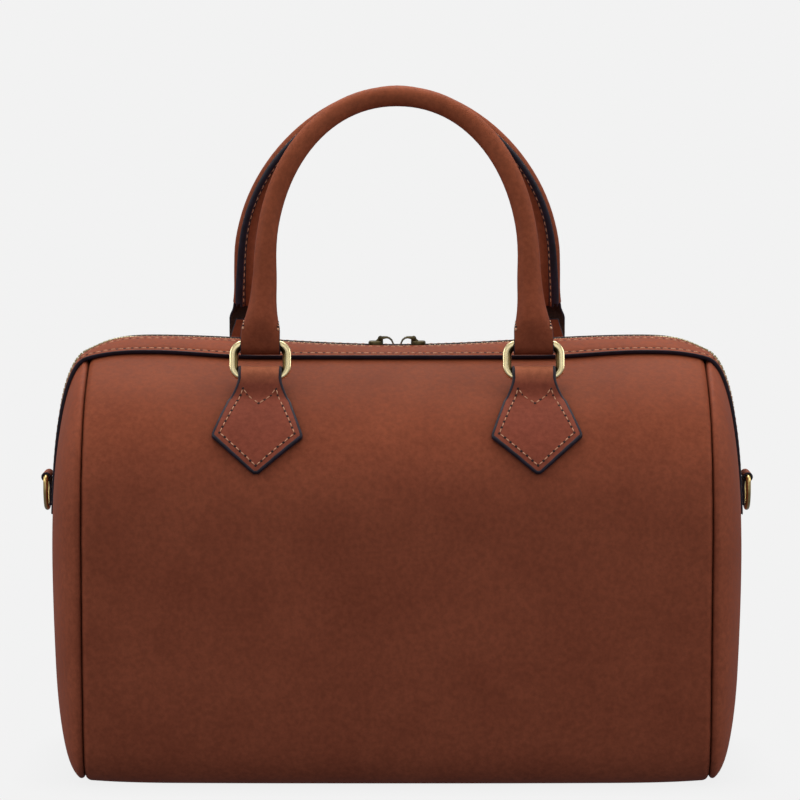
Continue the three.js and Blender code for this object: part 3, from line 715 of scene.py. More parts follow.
def cognac_leather(name, light, deep, grain, shine, toned=None):
    """Vegetable-tanned cowhide, aniline dyed and lightly waxed: cloudy brown, fine pebbled grain, satin.
    Painted shade darkens it where other surfaces stand close. Its tone may change between two heights, as
    painted light or shade."""
    finish, tree, shader = new_finish(name)
    place = add_node(tree, "ShaderNodeTexCoord").outputs["Object"]
    clouds = add_node(tree, "ShaderNodeTexNoise",
                      {"Vector": place, "Scale": every(DYE_CLOUD), "Detail": 4, "Roughness": 0.6})
    flecks = add_node(tree, "ShaderNodeTexNoise",
                      {"Vector": place, "Scale": every(DYE_FLECK), "Detail": 3, "Roughness": 0.7})
    cloud = clouds.outputs["Fac"]
    fleck = flecks.outputs["Fac"]
    # painted shade: the colour darkens where other surfaces stand close
    painted_shade = add_node(tree, "ShaderNodeAmbientOcclusion", {"Distance": PAINTED_SHADE_REACH * MM}, samples=6).outputs["AO"]
    layers = [
        add_node(tree, "ShaderNodeValToRGB", {"Fac": cloud}, ((0.25, linear(deep)), (0.75, linear(light)))),
        add_node(tree, "ShaderNodeValToRGB", {"Fac": fleck}, ((0.35, grey(0.86)), (0.65, grey(1.1)))),
        add_node(tree, "ShaderNodeValToRGB", {"Fac": painted_shade}, ((0.2, grey(PAINTED_CREVICE_SHADE)), (0.8, grey(1)))),
    ]
    if toned:
        low, high, tone = toned
        height = add_node(tree, "ShaderNodeSeparateXYZ", {"Vector": place}).outputs["Z"]
        rise = add_node(tree, "ShaderNodeMapRange",
                        {"Value": height, "From Min": low * MM, "From Max": high * MM}).outputs["Result"]
        layers.append(add_node(tree, "ShaderNodeValToRGB", {"Fac": rise}, ((0, grey(1)), (1, tone))))
    colour = layers[0].outputs["Color"]
    for layer in layers[1:]:
        colour = add_node(tree, "ShaderNodeMix", {0: 1.0, 6: colour, 7: layer.outputs["Color"]},
                          data_type="RGBA", blend_type="MULTIPLY").outputs[2]
    tree.links.new(colour, shader.inputs["Base Color"])
    crease = add_node(tree, "ShaderNodeTexNoise",
                      {"Vector": place, "Scale": every(CREASE), "Detail": 5, "Roughness": 0.55,
                       "Distortion": 0.8})
    folds = add_node(tree, "ShaderNodeBump",
                     {"Height": crease.outputs["Fac"], "Strength": 0.25, "Distance": 0.6 * MM})
    pebble = add_node(tree, "ShaderNodeTexVoronoi", {"Vector": place, "Scale": every(grain)},
                      feature="SMOOTH_F1")
    pores = add_node(tree, "ShaderNodeBump",
                     {"Height": pebble.outputs["Distance"], "Strength": 0.35, "Distance": 0.12 * MM,
                      "Normal": folds.outputs["Normal"]})
    tree.links.new(pores.outputs["Normal"], shader.inputs["Normal"])
    dull = add_node(tree, "ShaderNodeValToRGB", {"Fac": fleck},
                    ((0.3, grey(shine - 0.06)), (0.7, grey(shine + 0.08))))
    tree.links.new(dull.outputs["Color"], shader.inputs["Roughness"])
    shader.inputs["IOR"].default_value = 1.46
    shader.inputs["Specular IOR Level"].default_value = 0.05
    return finish


def flesh_side():
    """The back of the same hide, dyed through: a matt nap of short fibres, darkened past its own tone as
    painted shade for the hollows inside the rolls.
    """
    finish, tree, shader = new_finish("leather_flesh_side")
    place = add_node(tree, "ShaderNodeTexCoord").outputs["Object"]
    nap = add_node(tree, "ShaderNodeTexNoise",
                   {"Vector": place, "Scale": every(NAP_FIBRE), "Detail": 4}).outputs["Fac"]
    # painted shade: darker than the hide's own flesh side
    colour = add_node(tree, "ShaderNodeValToRGB", {"Fac": nap},
                      ((0.3, linear("#2a1610")), (0.7, linear("#46291d"))))
    tree.links.new(colour.outputs["Color"], shader.inputs["Base Color"])
    fibre = add_node(tree, "ShaderNodeBump", {"Height": nap, "Strength": 0.5, "Distance": 0.2 * MM})
    tree.links.new(fibre.outputs["Normal"], shader.inputs["Normal"])
    shader.inputs["Roughness"].default_value = 0.9
    return finish


def edge_paint():
    """Acrylic edge paint, near-black plum, brushed on cut edges in coats: smooth, rounded and half gloss."""
    finish, tree, shader = new_finish("edge_paint")
    place = add_node(tree, "ShaderNodeTexCoord").outputs["Object"]
    coat = add_node(tree, "ShaderNodeTexNoise",
                    {"Vector": place, "Scale": every(PAINT_RIPPLE), "Detail": 2}).outputs["Fac"]
    colour = add_node(tree, "ShaderNodeValToRGB", {"Fac": coat},
                      ((0.3, linear("#110a14")), (0.7, linear("#1e1424"))))
    tree.links.new(colour.outputs["Color"], shader.inputs["Base Color"])
    ripple = add_node(tree, "ShaderNodeBump", {"Height": coat, "Strength": 0.2, "Distance": 0.15 * MM})
    tree.links.new(ripple.outputs["Normal"], shader.inputs["Normal"])
    shader.inputs["Roughness"].default_value = 0.52
    shader.inputs["Specular IOR Level"].default_value = 0.3
    return finish


def waxed_thread():
    """Twisted polyester thread, tan and waxed: matt, with fine plies that show as light and dark flecks."""
    finish, tree, shader = new_finish("waxed_thread")
    place = add_node(tree, "ShaderNodeTexCoord").outputs["Object"]
    ply = add_node(tree, "ShaderNodeTexNoise",
                   {"Vector": place, "Scale": every(THREAD_PLY), "Detail": 2}).outputs["Fac"]
    colour = add_node(tree, "ShaderNodeValToRGB", {"Fac": ply},
                      ((0.3, linear("#a8714e")), (0.7, linear("#d6a27f"))))
    tree.links.new(colour.outputs["Color"], shader.inputs["Base Color"])
    twist = add_node(tree, "ShaderNodeBump", {"Height": ply, "Strength": 0.4, "Distance": 0.1 * MM})
    tree.links.new(twist.outputs["Normal"], shader.inputs["Normal"])
    shader.inputs["Roughness"].default_value = 0.6
    return finish


def needle_hole():
    """A dark mark at each end of a stitch: painted shade in the pit that the needle leaves."""
    finish, tree, shader = new_finish("needle_hole")
    place = add_node(tree, "ShaderNodeTexCoord").outputs["Object"]
    mottle = add_node(tree, "ShaderNodeTexNoise", {"Vector": place, "Scale": every(HOLE_MOTTLE)}).outputs["Fac"]
    # painted shade of the needle's pit, mottled
    colour = add_node(tree, "ShaderNodeValToRGB", {"Fac": mottle},
                      ((0.3, linear("#120806")), (0.7, linear("#20100b"))))
    tree.links.new(colour.outputs["Color"], shader.inputs["Base Color"])
    shader.inputs["Roughness"].default_value = 0.9
    return finish


def plated_brass(name, bright, dull, rough):
    """Cast zinc, brass plated and tumbled: satin gold with faint clouds and fine handling scratches."""
    finish, tree, shader = new_finish(name)
    place = add_node(tree, "ShaderNodeTexCoord").outputs["Object"]
    cloud = add_node(tree, "ShaderNodeTexNoise",
                     {"Vector": place, "Scale": every(BRASS_CLOUD), "Detail": 3}).outputs["Fac"]
    colour = add_node(tree, "ShaderNodeValToRGB", {"Fac": cloud},
                      ((0.3, linear(dull)), (0.7, linear(bright))))
    tree.links.new(colour.outputs["Color"], shader.inputs["Base Color"])
    drawn = add_node(tree, "ShaderNodeMapping",
                     {"Vector": place, "Scale": [every(size) for size in SCRATCH]})
    rub = add_node(tree, "ShaderNodeTexNoise",
                   {"Vector": drawn.outputs["Vector"], "Scale": 1.0, "Detail": 2}).outputs["Fac"]
    worn = add_node(tree, "ShaderNodeValToRGB", {"Fac": rub},
                    ((0.3, grey(rough - 0.02)), (0.7, grey(rough + 0.04))))
    tree.links.new(worn.outputs["Color"], shader.inputs["Roughness"])
    scratch = add_node(tree, "ShaderNodeBump", {"Height": rub, "Strength": 0.012, "Distance": 0.05 * MM})
    tree.links.new(scratch.outputs["Normal"], shader.inputs["Normal"])
    shader.inputs["Metallic"].default_value = 1
    return finish


def woven_tape(long, wide):
    """Zip tape, polyester twill: dark brown, matt, with a ribbed weave that runs along the tape."""
    finish, tree, shader = new_finish("woven_tape")
    cloth = add_node(tree, "ShaderNodeUVMap").outputs["UV"]
    threads = add_node(tree, "ShaderNodeMapping",
                       {"Vector": cloth, "Scale": (wide / TAPE_RIB, long / TAPE_RIB, 1)}).outputs["Vector"]
    rib = add_node(tree, "ShaderNodeTexWave", {"Vector": threads, "Scale": 0.5, "Distortion": 0.4},
                   bands_direction="DIAGONAL").outputs["Fac"]
    colour = add_node(tree, "ShaderNodeValToRGB", {"Fac": rib},
                      ((0.2, linear("#2c1810")), (0.8, linear("#4d2e20"))))
    tree.links.new(colour.outputs["Color"], shader.inputs["Base Color"])
    weave = add_node(tree, "ShaderNodeBump", {"Height": rib, "Strength": 0.5, "Distance": 0.2 * MM})
    tree.links.new(weave.outputs["Normal"], shader.inputs["Normal"])
    shader.inputs["Roughness"].default_value = 0.85
    return finish


# painted shade on the wrap's shoulders; every leather here also carries painted shade in its crevices
WRAP_LEATHER = cognac_leather("wrap_leather_finish", "#8d4b34", "#7d402c", BODY_GRAIN, 0.58, SHOULDER_PAINTED_SHADE)
END_LEATHER = cognac_leather("end_leather_finish", "#8d4b34", "#7d402c", BODY_GRAIN, 0.58)
STRAP_LEATHER = cognac_leather("strap_leather_finish", "#89462e", "#773a24", STRAP_GRAIN, 0.55)
# painted shade: the handles' leather is darker than the straps', and it carries painted light towards the
# handles' tops
HANDLE_LEATHER_SHADED = cognac_leather("handle_leather_finish", "#7d402b", "#6d3521", STRAP_GRAIN, 0.55, HANDLE_TOP_PAINTED_LIGHT)
# painted light on the tabs' folds over their rings
TAB_LEATHER = cognac_leather("tab_leather_finish", "#854433", "#783d2d", STRAP_GRAIN, 0.55, FOLD_PAINTED_LIGHT)
FLESH_AND_SHADE = flesh_side()
PAINT = edge_paint()
THREAD = waxed_thread()
NEEDLE_HOLE = needle_hole()
RING_BRASS = plated_brass("ring_brass_finish", "#f0dfae", "#e3d09e", 0.25)
# painted shade and painted reflection: a dark brass for the rings' sloped inner edges
RING_PAINTED_SHADE = plated_brass("ring_painted_shade_finish", "#6e5c37", "#55452a", 0.4)
D_RING_BRASS = plated_brass("d_ring_brass_finish", "#dcc283", "#c2a566", 0.3)
SLIDER_BRASS = plated_brass("slider_brass_finish", "#61573b", "#3a3221", 0.34)
TEETH_BRASS = plated_brass("teeth_brass_finish", "#c8ba92", "#96895f", 0.34)
STITCH = small_form(bpy.ops.mesh.primitive_uv_sphere_add, segments=6, ring_count=5, radius=0.5)
WRAP_HIDE = (WRAP_LEATHER, WRAP_LEATHER, FLESH_AND_SHADE)
END_HIDE = (END_LEATHER, END_LEATHER, FLESH_AND_SHADE)
STRAP_HIDE = (STRAP_LEATHER, PAINT, FLESH_AND_SHADE)
HANDLE_HIDE = (HANDLE_LEATHER_SHADED, PAINT, FLESH_AND_SHADE)
TAB_HIDE = (TAB_LEATHER, PAINT, FLESH_AND_SHADE)


# Pieces

def seam_roll():
    """Steps of the rolled edge beside an end seam: how far out of the roll's start, how far tucked in."""
    turns = steps(0, ROLL_END, ROLL_STEPS)[1:]
    return [(SEAM_ROLL * math.sin(a), SEAM_ROLL * (1 - math.cos(a))) for a in turns]


def body_wrap():
    """One hide makes the front, the floor and the back. Its ends roll in to the turned seams."""
    flat = SEAM_X - SEAM_ROLL
    rolled = [(flat + out, tuck) for out, tuck in seam_roll()]
    stations = [(-x, tuck) for x, tuck in reversed(rolled)]
    stations += [(x, 0) for x in steps(-flat, flat, round(2 * flat / GRID))]
    stations += rolled
    half = SECTION_END - MOUTH_AT
    places = []
    for run in steps(-half, half, round(2 * half / GRID)):
        side = -1 if run < 0 else 1
        places.append([panel_point(x, side, SECTION_END - abs(run), -tuck) for x, tuck in stations])
    piece = sewn_sheet("body_wrap_leather", places, (0, 0, -1), BODY_WALL, WRAP_HIDE)
    hand_over(piece, "body_wrap")


def slit_line(edge):
    """The zip's slit in an end panel, one point for each point of the panel's edge."""
    top = lid_height(SEAM_X, MOUTH_HALF)
    arm = sum(1 for p in edge if p.z > BAND_END_Z) // 2
    foot = len(edge) - 2 * arm
    line = []
    for i, _ in enumerate(edge):
        from_top = min(i, len(edge) - 1 - i)
        if from_top < arm:
            side = -1 if i < arm else 1
            height = lerp(top, SLIT_LOW + SLIT_FOOT, from_top / (arm - 1))
            line.append(Vector((0, side * MOUTH_HALF, height)))
        else:
            turn = math.pi * (i - arm + 1) / (foot + 1)
            height = SLIT_LOW + SLIT_FOOT * (1 - math.sin(turn))
            line.append(Vector((0, -MOUTH_HALF * math.cos(turn), height)))
    return line


def end_panel(hand, way):
    """A domed end that rolls out of its turned seam, slit for the zip's lower end."""
    down = steps(HEM_AT, SECTION_END, round((SECTION_END - HEM_AT) / GRID))
    rims = [(-1, length) for length in down] + [(1, length) for length in reversed(down[:-1])]
    edge = [body_point(SEAM_X, side, section_at(length)) for side, length in rims]
    outs = [section_out(length, side) for side, length in rims]
    middle = Vector((0, 0, DOME_Z))

    def on_dome(p, rise):
        share = (1 - (rise / END_BULGE) ** 2) ** (1 / dome_power(p.y, p.z))
        return middle.lerp(Vector((0, p.y, p.z)), share)

    rows = []
    for out, tuck in reversed(seam_roll()):
        rise = SEAM_ROLL - out
        row = []
        for p, normal in zip(edge, outs):
            at = on_dome(p, rise) - normal * tuck
            row.append(Vector((way * (SEAM_X + rise), at.y, at.z)))
        rows.append(row)
    starts = [on_dome(p, SEAM_ROLL) for p in edge]
    slit = slit_line(edge)
    for t in steps(0, 1, END_ROWS):
        wave = WAVE_HEIGHT * smoothstep(t, *END_WAVE_GROWS)
        row = []
        for start, end in zip(starts, slit):
            at = start.lerp(end, t**END_ROW_POWER)
            bump = wave * noise.noise(Vector((way * END_WAVE_SEED, at.y, at.z)) / WAVE_LENGTH)
            row.append(Vector((way * (dome_x(at.y, at.z) + bump), at.y, at.z)))
        rows.append(row)
    piece = sewn_sheet(f"end_panel_{hand}_leather", rows, (way, 0, 0), BODY_WALL, END_HIDE)
    hand_over(piece, f"end_panel_{hand}")


def band_point(y, row, height, end_z=BAND_END_Z):
    return band_line(y, end_z)[row] + band_outs(y, end_z)[row] * height


def sewn_share(share, x):
    """Where a line across the strip lies at x. The strip's edges stay where they are."""
    shift = STRIP_SHIFT * smoothstep(abs(x), *STRIP_SHIFTS)
    return share + shift * share * (1 - share) ** 2


def zip_strip(side_name, side):
    """A leather strip beside the zip, with a painted edge and a stitch row near each edge."""
    across = {share: side * lerp(STRIP_INNER, STRIP_OUTER, share) for share in STRIP_SHARES}
    top = STRIP_LIFT + STRIP_THICK
    places = []
    for row, middle in enumerate(band_line(0)):
        low = top - STRIP_SINK * smoothstep(abs(middle.x) - SEAM_X, *STRIP_SINKS)
        flat = [(share, band_point(y, row, low)) for share, y in across.items()]
        points = []
        for share, y in across.items():
            dimple = band_outs(y)[row] * STRIP_DIMPLE * (share in STRIP_SEWN)
            points.append(read_off(flat, sewn_share(share, middle.x)) - dimple)
        places.append(points)
    piece = sewn_sheet(f"zip_strip_{side_name}_leather", places, (0, 0, 1), STRIP_THICK, STRAP_HIDE)
    hand_over(piece, f"zip_strip_{side_name}")
    for label, share in zip(("inner", "outer"), STRIP_SEWN):
        y = across[share]
        line = [row[STRIP_SHARES.index(share)] for row in places]
        sew(f"stitches_strip_{side_name}_{label}", walk(line, band_outs(y), STRIP_PITCH), STRIP_PITCH)


def zip_tape():
    """The woven tape under the strips' inner edges, which carries the teeth."""
    lines = steps(-TAPE_HALF, TAPE_HALF, TAPE_COLUMNS)
    middle = band_line(0, ZIP_END_Z)
    places = [[band_point(y, row, 0, ZIP_END_Z) for y in lines] for row in range(len(middle))]
    tape_cloth = woven_tape(running_length(middle)[-1], 2 * TAPE_HALF)
    piece = sewn_sheet("zip_tape_cloth", places, (0, 0, 1), TAPE_THICK, (tape_cloth,), TAPE_ROUND)
    hand_over(piece, "zip_tape")


def zip_teeth():
    """Two rows of cast teeth that mesh in turn, with room for the two sliders."""
    tooth = small_form(bpy.ops.mesh.primitive_cube_add, size=1,
                       shape=lambda: bpy.ops.mesh.bevel(offset=TOOTH_BEVEL, segments=1, affect="EDGES"))
    spots = []
    stations = walk(band_line(0, ZIP_END_Z), band_outs(0, ZIP_END_Z), TOOTH_PITCH / 2)
    for k, (place, along, out) in enumerate(stations):
        if SLIDER_FROM < abs(place.x) < SLIDER_TO:
            continue
        aside = out.cross(along) * TOOTH_ASIDE * (-1) ** k
        proud = CORNER_LIFT * smoothstep(abs(place.x), *CORNER_X) * smoothstep(place.z, *CORNER_Z)
        spots.append(set_down(place + aside + out * (TOOTH_LIFT + proud), along, out, TOOTH_SIZE))
    piece = repeat("zip_teeth_metal", [(tooth, spots, 0)], [TEETH_BRASS])
    hand_over(piece, "zip_teeth")


def rounded_copy(node, body, rounding):
    """A cast zip piece, as the CAD has it, with its edges rounded off."""
    piece = bpy.data.objects.new(f"{node}_metal", frame["nodes"][node].data.copy())
    bpy.context.scene.collection.objects.link(piece)
    piece.data.materials.clear()
    piece.data.materials.append(SLIDER_BRASS)
    open_for_editing(piece)
    bpy.ops.mesh.remove_doubles(threshold=CAD_MERGE * MM)
    bpy.ops.mesh.dissolve_limited(angle_limit=math.radians(CAD_FLAT_UNDER))
    close_editing()
    apply_modifier(piece, "BEVEL", width=rounding * MM, segments=EDGE_STEPS, limit_method="ANGLE",
                   angle_limit=math.radians(CAD_EDGE_OVER))
    smooth_by_angle(piece)
    hand_over(piece, node, body=body)


def handle_plane(handle):
    """Turns a handle's own (x, depth, height) into the frame. Depth counts in over the lid."""
    inner = Vector((0, math.cos(LEAN), -math.sin(LEAN)))
    up = Vector((0, math.sin(LEAN), math.cos(LEAN)))
    axes = Matrix((Vector((1, 0, 0)), inner, up)).transposed().to_4x4()
    out, high = handle["pivot"]
    return Matrix.Rotation(handle["turn"], 4, "Z") @ Matrix.Translation((0, -out, high)) @ axes


def slope_inner_edge(piece):
    """Chamfers the front edge of a ring's opening. The slope gets a dark brass: painted shade and painted
    reflection of the dark leather in the recess.
    """
    inside = Vector((RING_WIDE / 2 - RING_BAR + TOUCH, RING_TALL / 2 - RING_BAR + TOUCH)) * MM
    open_for_editing(piece)
    bpy.ops.mesh.select_mode(type="EDGE")
    bpy.ops.mesh.select_all(action="DESELECT")
    close_editing()
    points = [v.co for v in piece.data.vertices]
    near = [p.z > 0 and abs(p.x) < inside.x and abs(p.y) < inside.y for p in points]
    for edge in piece.data.edges:
        edge.select = all(near[i] for i in edge.vertices)
    bpy.ops.object.mode_set(mode="EDIT")
    bpy.ops.mesh.bevel(offset=RING_SLOPE * MM, segments=1, affect="EDGES")
    piece.active_material_index = INNER_SLOPE
    bpy.ops.object.material_slot_assign()
    bpy.ops.mesh.select_mode(type="VERT")
    close_editing()


def handle_ring(name, node, handle, x):
    """A cast rectangular ring: a plate with round corners, cut out, thickened, sloped in and rounded."""
    bpy.ops.object.select_all(action="DESELECT")
    bpy.ops.mesh.primitive_plane_add(size=1)
    piece = bpy.context.object
    piece.name = piece.data.name = name
    open_for_editing(piece)
    bpy.ops.transform.resize(value=(RING_WIDE * MM, RING_TALL * MM, 1))
    bpy.ops.mesh.bevel(offset=RING_CORNER * MM, segments=RING_CORNER_STEPS, affect="VERTICES")
    bpy.ops.mesh.select_all(action="SELECT")
    bpy.ops.mesh.inset(thickness=RING_BAR * MM)
    bpy.ops.mesh.delete(type="FACE")
    close_editing()
    apply_modifier(piece, "SOLIDIFY", thickness=RING_DEEP * MM, offset=0)
    for finish in (RING_BRASS, RING_PAINTED_SHADE):
        piece.data.materials.append(finish)
    slope_inner_edge(piece)
    apply_modifier(piece, "BEVEL", width=RING_ROUND * MM, segments=RING_ROUND_STEPS, limit_method="ANGLE",
                   angle_limit=math.radians(RING_EDGE_OVER))
    stand = Matrix.Translation((x * MM, 0, RING_PITCH / 2 * MM)) @ Matrix.Rotation(math.pi / 2, 4, "X")
    plane = handle_plane(handle)
    plane.translation *= MM
    piece.data.transform(plane @ stand)
    smooth_by_angle(piece, ROUND_SMOOTH_UNDER)
    hand_over(piece, node)


def power(value, exponent):
    return math.copysign(abs(value) ** exponent, value)


def closed_roll(share, rise):
    """Across one half of a closed roll: round its core, then out along the sewn flange."""
    wide, thick, square = (read_smooth(t, rise) for t in (FOOT_WIDE, FOOT_THICK, FOOT_SQUARE))
    flange = read_off(FLANGE_HALF, rise)
    meet = math.asin((flange / wide) ** (1 / square))
    if share <= FLANGE_SHARE:
        turn = share / FLANGE_SHARE * (math.pi - meet)
        return wide * power(math.sin(turn), square), -thick * power(math.cos(turn), square)
    out = (share - FLANGE_SHARE) / (1 - FLANGE_SHARE)
    return flange, thick * power(math.cos(meet), square) + FLANGE_HEIGHT * out


def roll_section(rise, handle):
    """Across the strap at a rise over its flat part: flat, then curling up into the closed roll."""
    wide, thick, front = (read_smooth(t, rise) for t in (FOOT_WIDE, FOOT_THICK, FOOT_FRONT))
    closing = smoothstep(rise, FLAT_TO, LIP_AT)
    bow = FOOT_BOW * smoothstep(rise, 0, FLAT_TO)
    points = []
    for column in range(-ROLL_COLUMNS, ROLL_COLUMNS + 1):
        a, b = closed_roll(abs(column) / ROLL_COLUMNS, rise)
        a, b = math.copysign(a, column), b * (front / thick if b < 0 else 1)
        share = strap_share(column)
        points.append((lerp(share * STRAP_HALF, a, closing), lerp(bow * share**2 - front, b, closing)))
    scale = wide / max(a for a, _ in points)
    return [turned((a * scale, b), roll_twist(handle, rise) * closing) for a, b in points]


def roll_twist(handle, rise):
    return math.radians(read_smooth(handle["twist"], rise, TWIST_EASE))


def strap_share(column):
    """Where a column lies across the flat strap. The columns past its edge are cut away there."""
    return max(-1, min(1, column / STRAP_COLUMNS))


def turned(point, angle):
    a, b = point
    return a * math.cos(angle) - b * math.sin(angle), a * math.sin(angle) + b * math.cos(angle)


def roll_line(handle):
    """The roll's middle line from left foot to top: rise over the flat part, x, height and inner side."""
    base, arch_half, curve = handle["arch_base"], handle["arch_half"], handle["curve"]
    lip, leg_top = handle["flat"] + LIP_AT, base - RING_PITCH
    rises = steps(0, lip, round(lip / LEG_STEP)) + steps(lip, leg_top, round((leg_top - lip) / LEG_STEP))[1:]
    spots = []
    for rise in rises:
        low = smoothstep(1 - rise / leg_top, 0, 1)
        spots.append(Vector((-lerp(arch_half, handle["foot"], low), RING_PITCH + rise)))
    for turn in steps(0, math.pi / 2, ARCH_STEPS // 2)[1:]:
        across, up = max(0, math.cos(turn)) ** curve, math.sin(turn) ** curve
        spots.append(Vector((-arch_half * across, base + handle["arch_rise"] * up)))
    ends = [spots[0] - Vector((0, 1))] + spots + [Vector((-spots[-2].x, spots[-2].y))]
    line = []
    for before, spot, after in zip(ends, spots, ends[2:]):
        run = (after - before).normalized()
        line.append((spot.y - RING_PITCH - handle["flat"], spot.x, spot.y, (run.y, -run.x)))
    return line


def handle_rows(handle):
    """Rows of the handle's one long strap, from the tongue in the left foot to the tongue in the right foot,
    and how many of them at each end lie below the cut end of the roll."""
    across = [strap_share(column) for column in range(-ROLL_COLUMNS, ROLL_COLUMNS + 1)]
    foot = -handle["foot"]
    tongue_top = TONGUE_DEPTH[-1][0]
    stretch = (tongue_top + handle["flat"]) / tongue_top
    left = []
    for rise in steps(tongue_top, TONGUE_LOW, TONGUE_ROWS):
        half, depth = (read_smooth(t, rise, TONGUE_EASE) for t in (TONGUE_HALF, TONGUE_DEPTH))
        left.append([Vector((foot + s * half, depth, RING_PITCH + rise * stretch)) for s in across])
    for turn in steps(math.pi, 0, LOOP_STEPS)[:-1]:
        depth, height = -LOOP_RADIUS * math.cos(turn), RING_PITCH - LOOP_RADIUS * math.sin(turn)
        left.append([Vector((foot + s * STRAP_HALF, depth, height)) for s in across])
    low_rows = len(left)
    for rise, x, height, (side_x, side_h) in roll_line(handle):
        low_rows += rise < LIP_AT - TOUCH
        section = roll_section(rise, handle)
        left.append([Vector((x + a * side_x, b, height + a * side_h)) for a, b in section])
    right = [[mirrored(p) for p in row] for row in left[:-1]]
    return left + right[::-1], low_rows


def past_strap(rows, low_rows):
    """Faces beside the flat strap, below the cut ends of the roll."""
    columns = 2 * ROLL_COLUMNS
    strap = range(ROLL_COLUMNS - STRAP_COLUMNS, ROLL_COLUMNS + STRAP_COLUMNS)
    low = list(range(low_rows)) + list(range(len(rows) - 1 - low_rows, len(rows) - 1))
    return [row * columns + column for row in low for column in range(columns) if column not in strap]


def flange_lines(handle, share):
    """Lines along the two sides of the sewn flange, from foot to foot, with their outward sides."""
    lines = []
    for sign in (-1, 1):
        left = []
        for rise, x, height, (side_x, side_h) in roll_line(handle):
            if rise > LIP_AT:
                twist = roll_twist(handle, rise)
                a, b = closed_roll(lerp(FLANGE_SHARE, 1, share), rise)
                a, b = turned((sign * a, b), twist)
                out_a, out_b = turned((sign, 0), twist)
                place = Vector((x + a * side_x, b, height + a * side_h))
                left.append((place, Vector((out_a * side_x, out_b, out_a * side_h))))
        right = [(mirrored(p), mirrored(o)) for p, o in left[:-1]]
        lines.append(left + right[::-1])
    return lines


def foot_tacks(handle):
    """Lines up both edges of each foot, where a few stitches and a knot hold the roll's open end."""
    lines = []
    for sign in (-1, 1):
        left = []
        for rise, x, height, (side_x, side_h) in roll_line(handle):
            if TACK_FROM < rise < TACK_TO:
                a, b = roll_section(rise, handle)[ROLL_COLUMNS + sign * (STRAP_COLUMNS - 1)]
                place = Vector((x + a * side_x, b, height + a * side_h))
                left.append((place, Vector((sign, -1, 0)).normalized()))
        lines.append(left)
        lines.append([(mirrored(p), mirrored(o)) for p, o in left])
    return lines


def bare_ends(piece, plane, lip):
    """The roll's two cut ends, at this height over the ring, are left unpainted."""
    to_handle = plane.inverted()
    turn = to_handle.to_3x3()
    for face in piece.data.polygons:
        height = (to_handle @ (face.center / MM)).z
        faces_down = (turn @ face.normal).z < FACES_DOWN
        if abs(height - lip) < LEG_STEP and faces_down and face.material_index == CUT_EDGE:
            face.material_index = GRAIN_SIDE


def rolled_handle(side, handle):
    """One long strap, rolled and sewn between its feet, with a painted flange and tacked ends."""
    plane = handle_plane(handle)
    turn = plane.to_3x3()
    rows, low_rows = handle_rows(handle)
    places = [[plane @ p for p in row] for row in rows]
    front = turn @ Vector((0, -1, 0))
    beside = past_strap(rows, low_rows)
    piece = sewn_sheet(f"handle_{side}_leather", places, front, HANDLE_THICK, HANDLE_HIDE, cut=beside)
    bare_ends(piece, plane, RING_PITCH + handle["flat"] + LIP_AT)
    hand_over(piece, f"handle_{side}")
    lows, highs = ([plane @ p for p, _ in line] for line in flange_lines(handle, 1))
    painted_bead(f"handle_{side}_edge", lows, highs, FLANGE_PAINT_HALF)
    for label, line in zip(("outer", "inner"), flange_lines(handle, FLANGE_SEWN)):
        stations = walk([plane @ p for p, _ in line], [turn @ o for _, o in line], HANDLE_PITCH)
        sew(f"stitches_handle_{side}_{label}", stations, HANDLE_PITCH)
    tacks, knots = [], []
    for line in foot_tacks(handle):
        stations = walk([plane @ p for p, _ in line], [turn @ o for _, o in line], TACK_PITCH)
        tacks += stations
        knots.append(stations[0])
    sew(f"stitches_handle_{side}_feet", tacks, TACK_PITCH, knots)


def bar_seat(x, pivot):
    """Where a ring's lower bar stands over its panel: the length down the section, and its height."""
    bar = Vector((x, *pivot))
    lengths = steps(HEM_AT, HEM_AT + SEAT_REACH, SEAT_STEPS)
    gaps = [(body_point(x, 1, section_at(length)) - bar).length for length in lengths]
    best = gaps.index(min(gaps))
    return lengths[best], gaps[best]


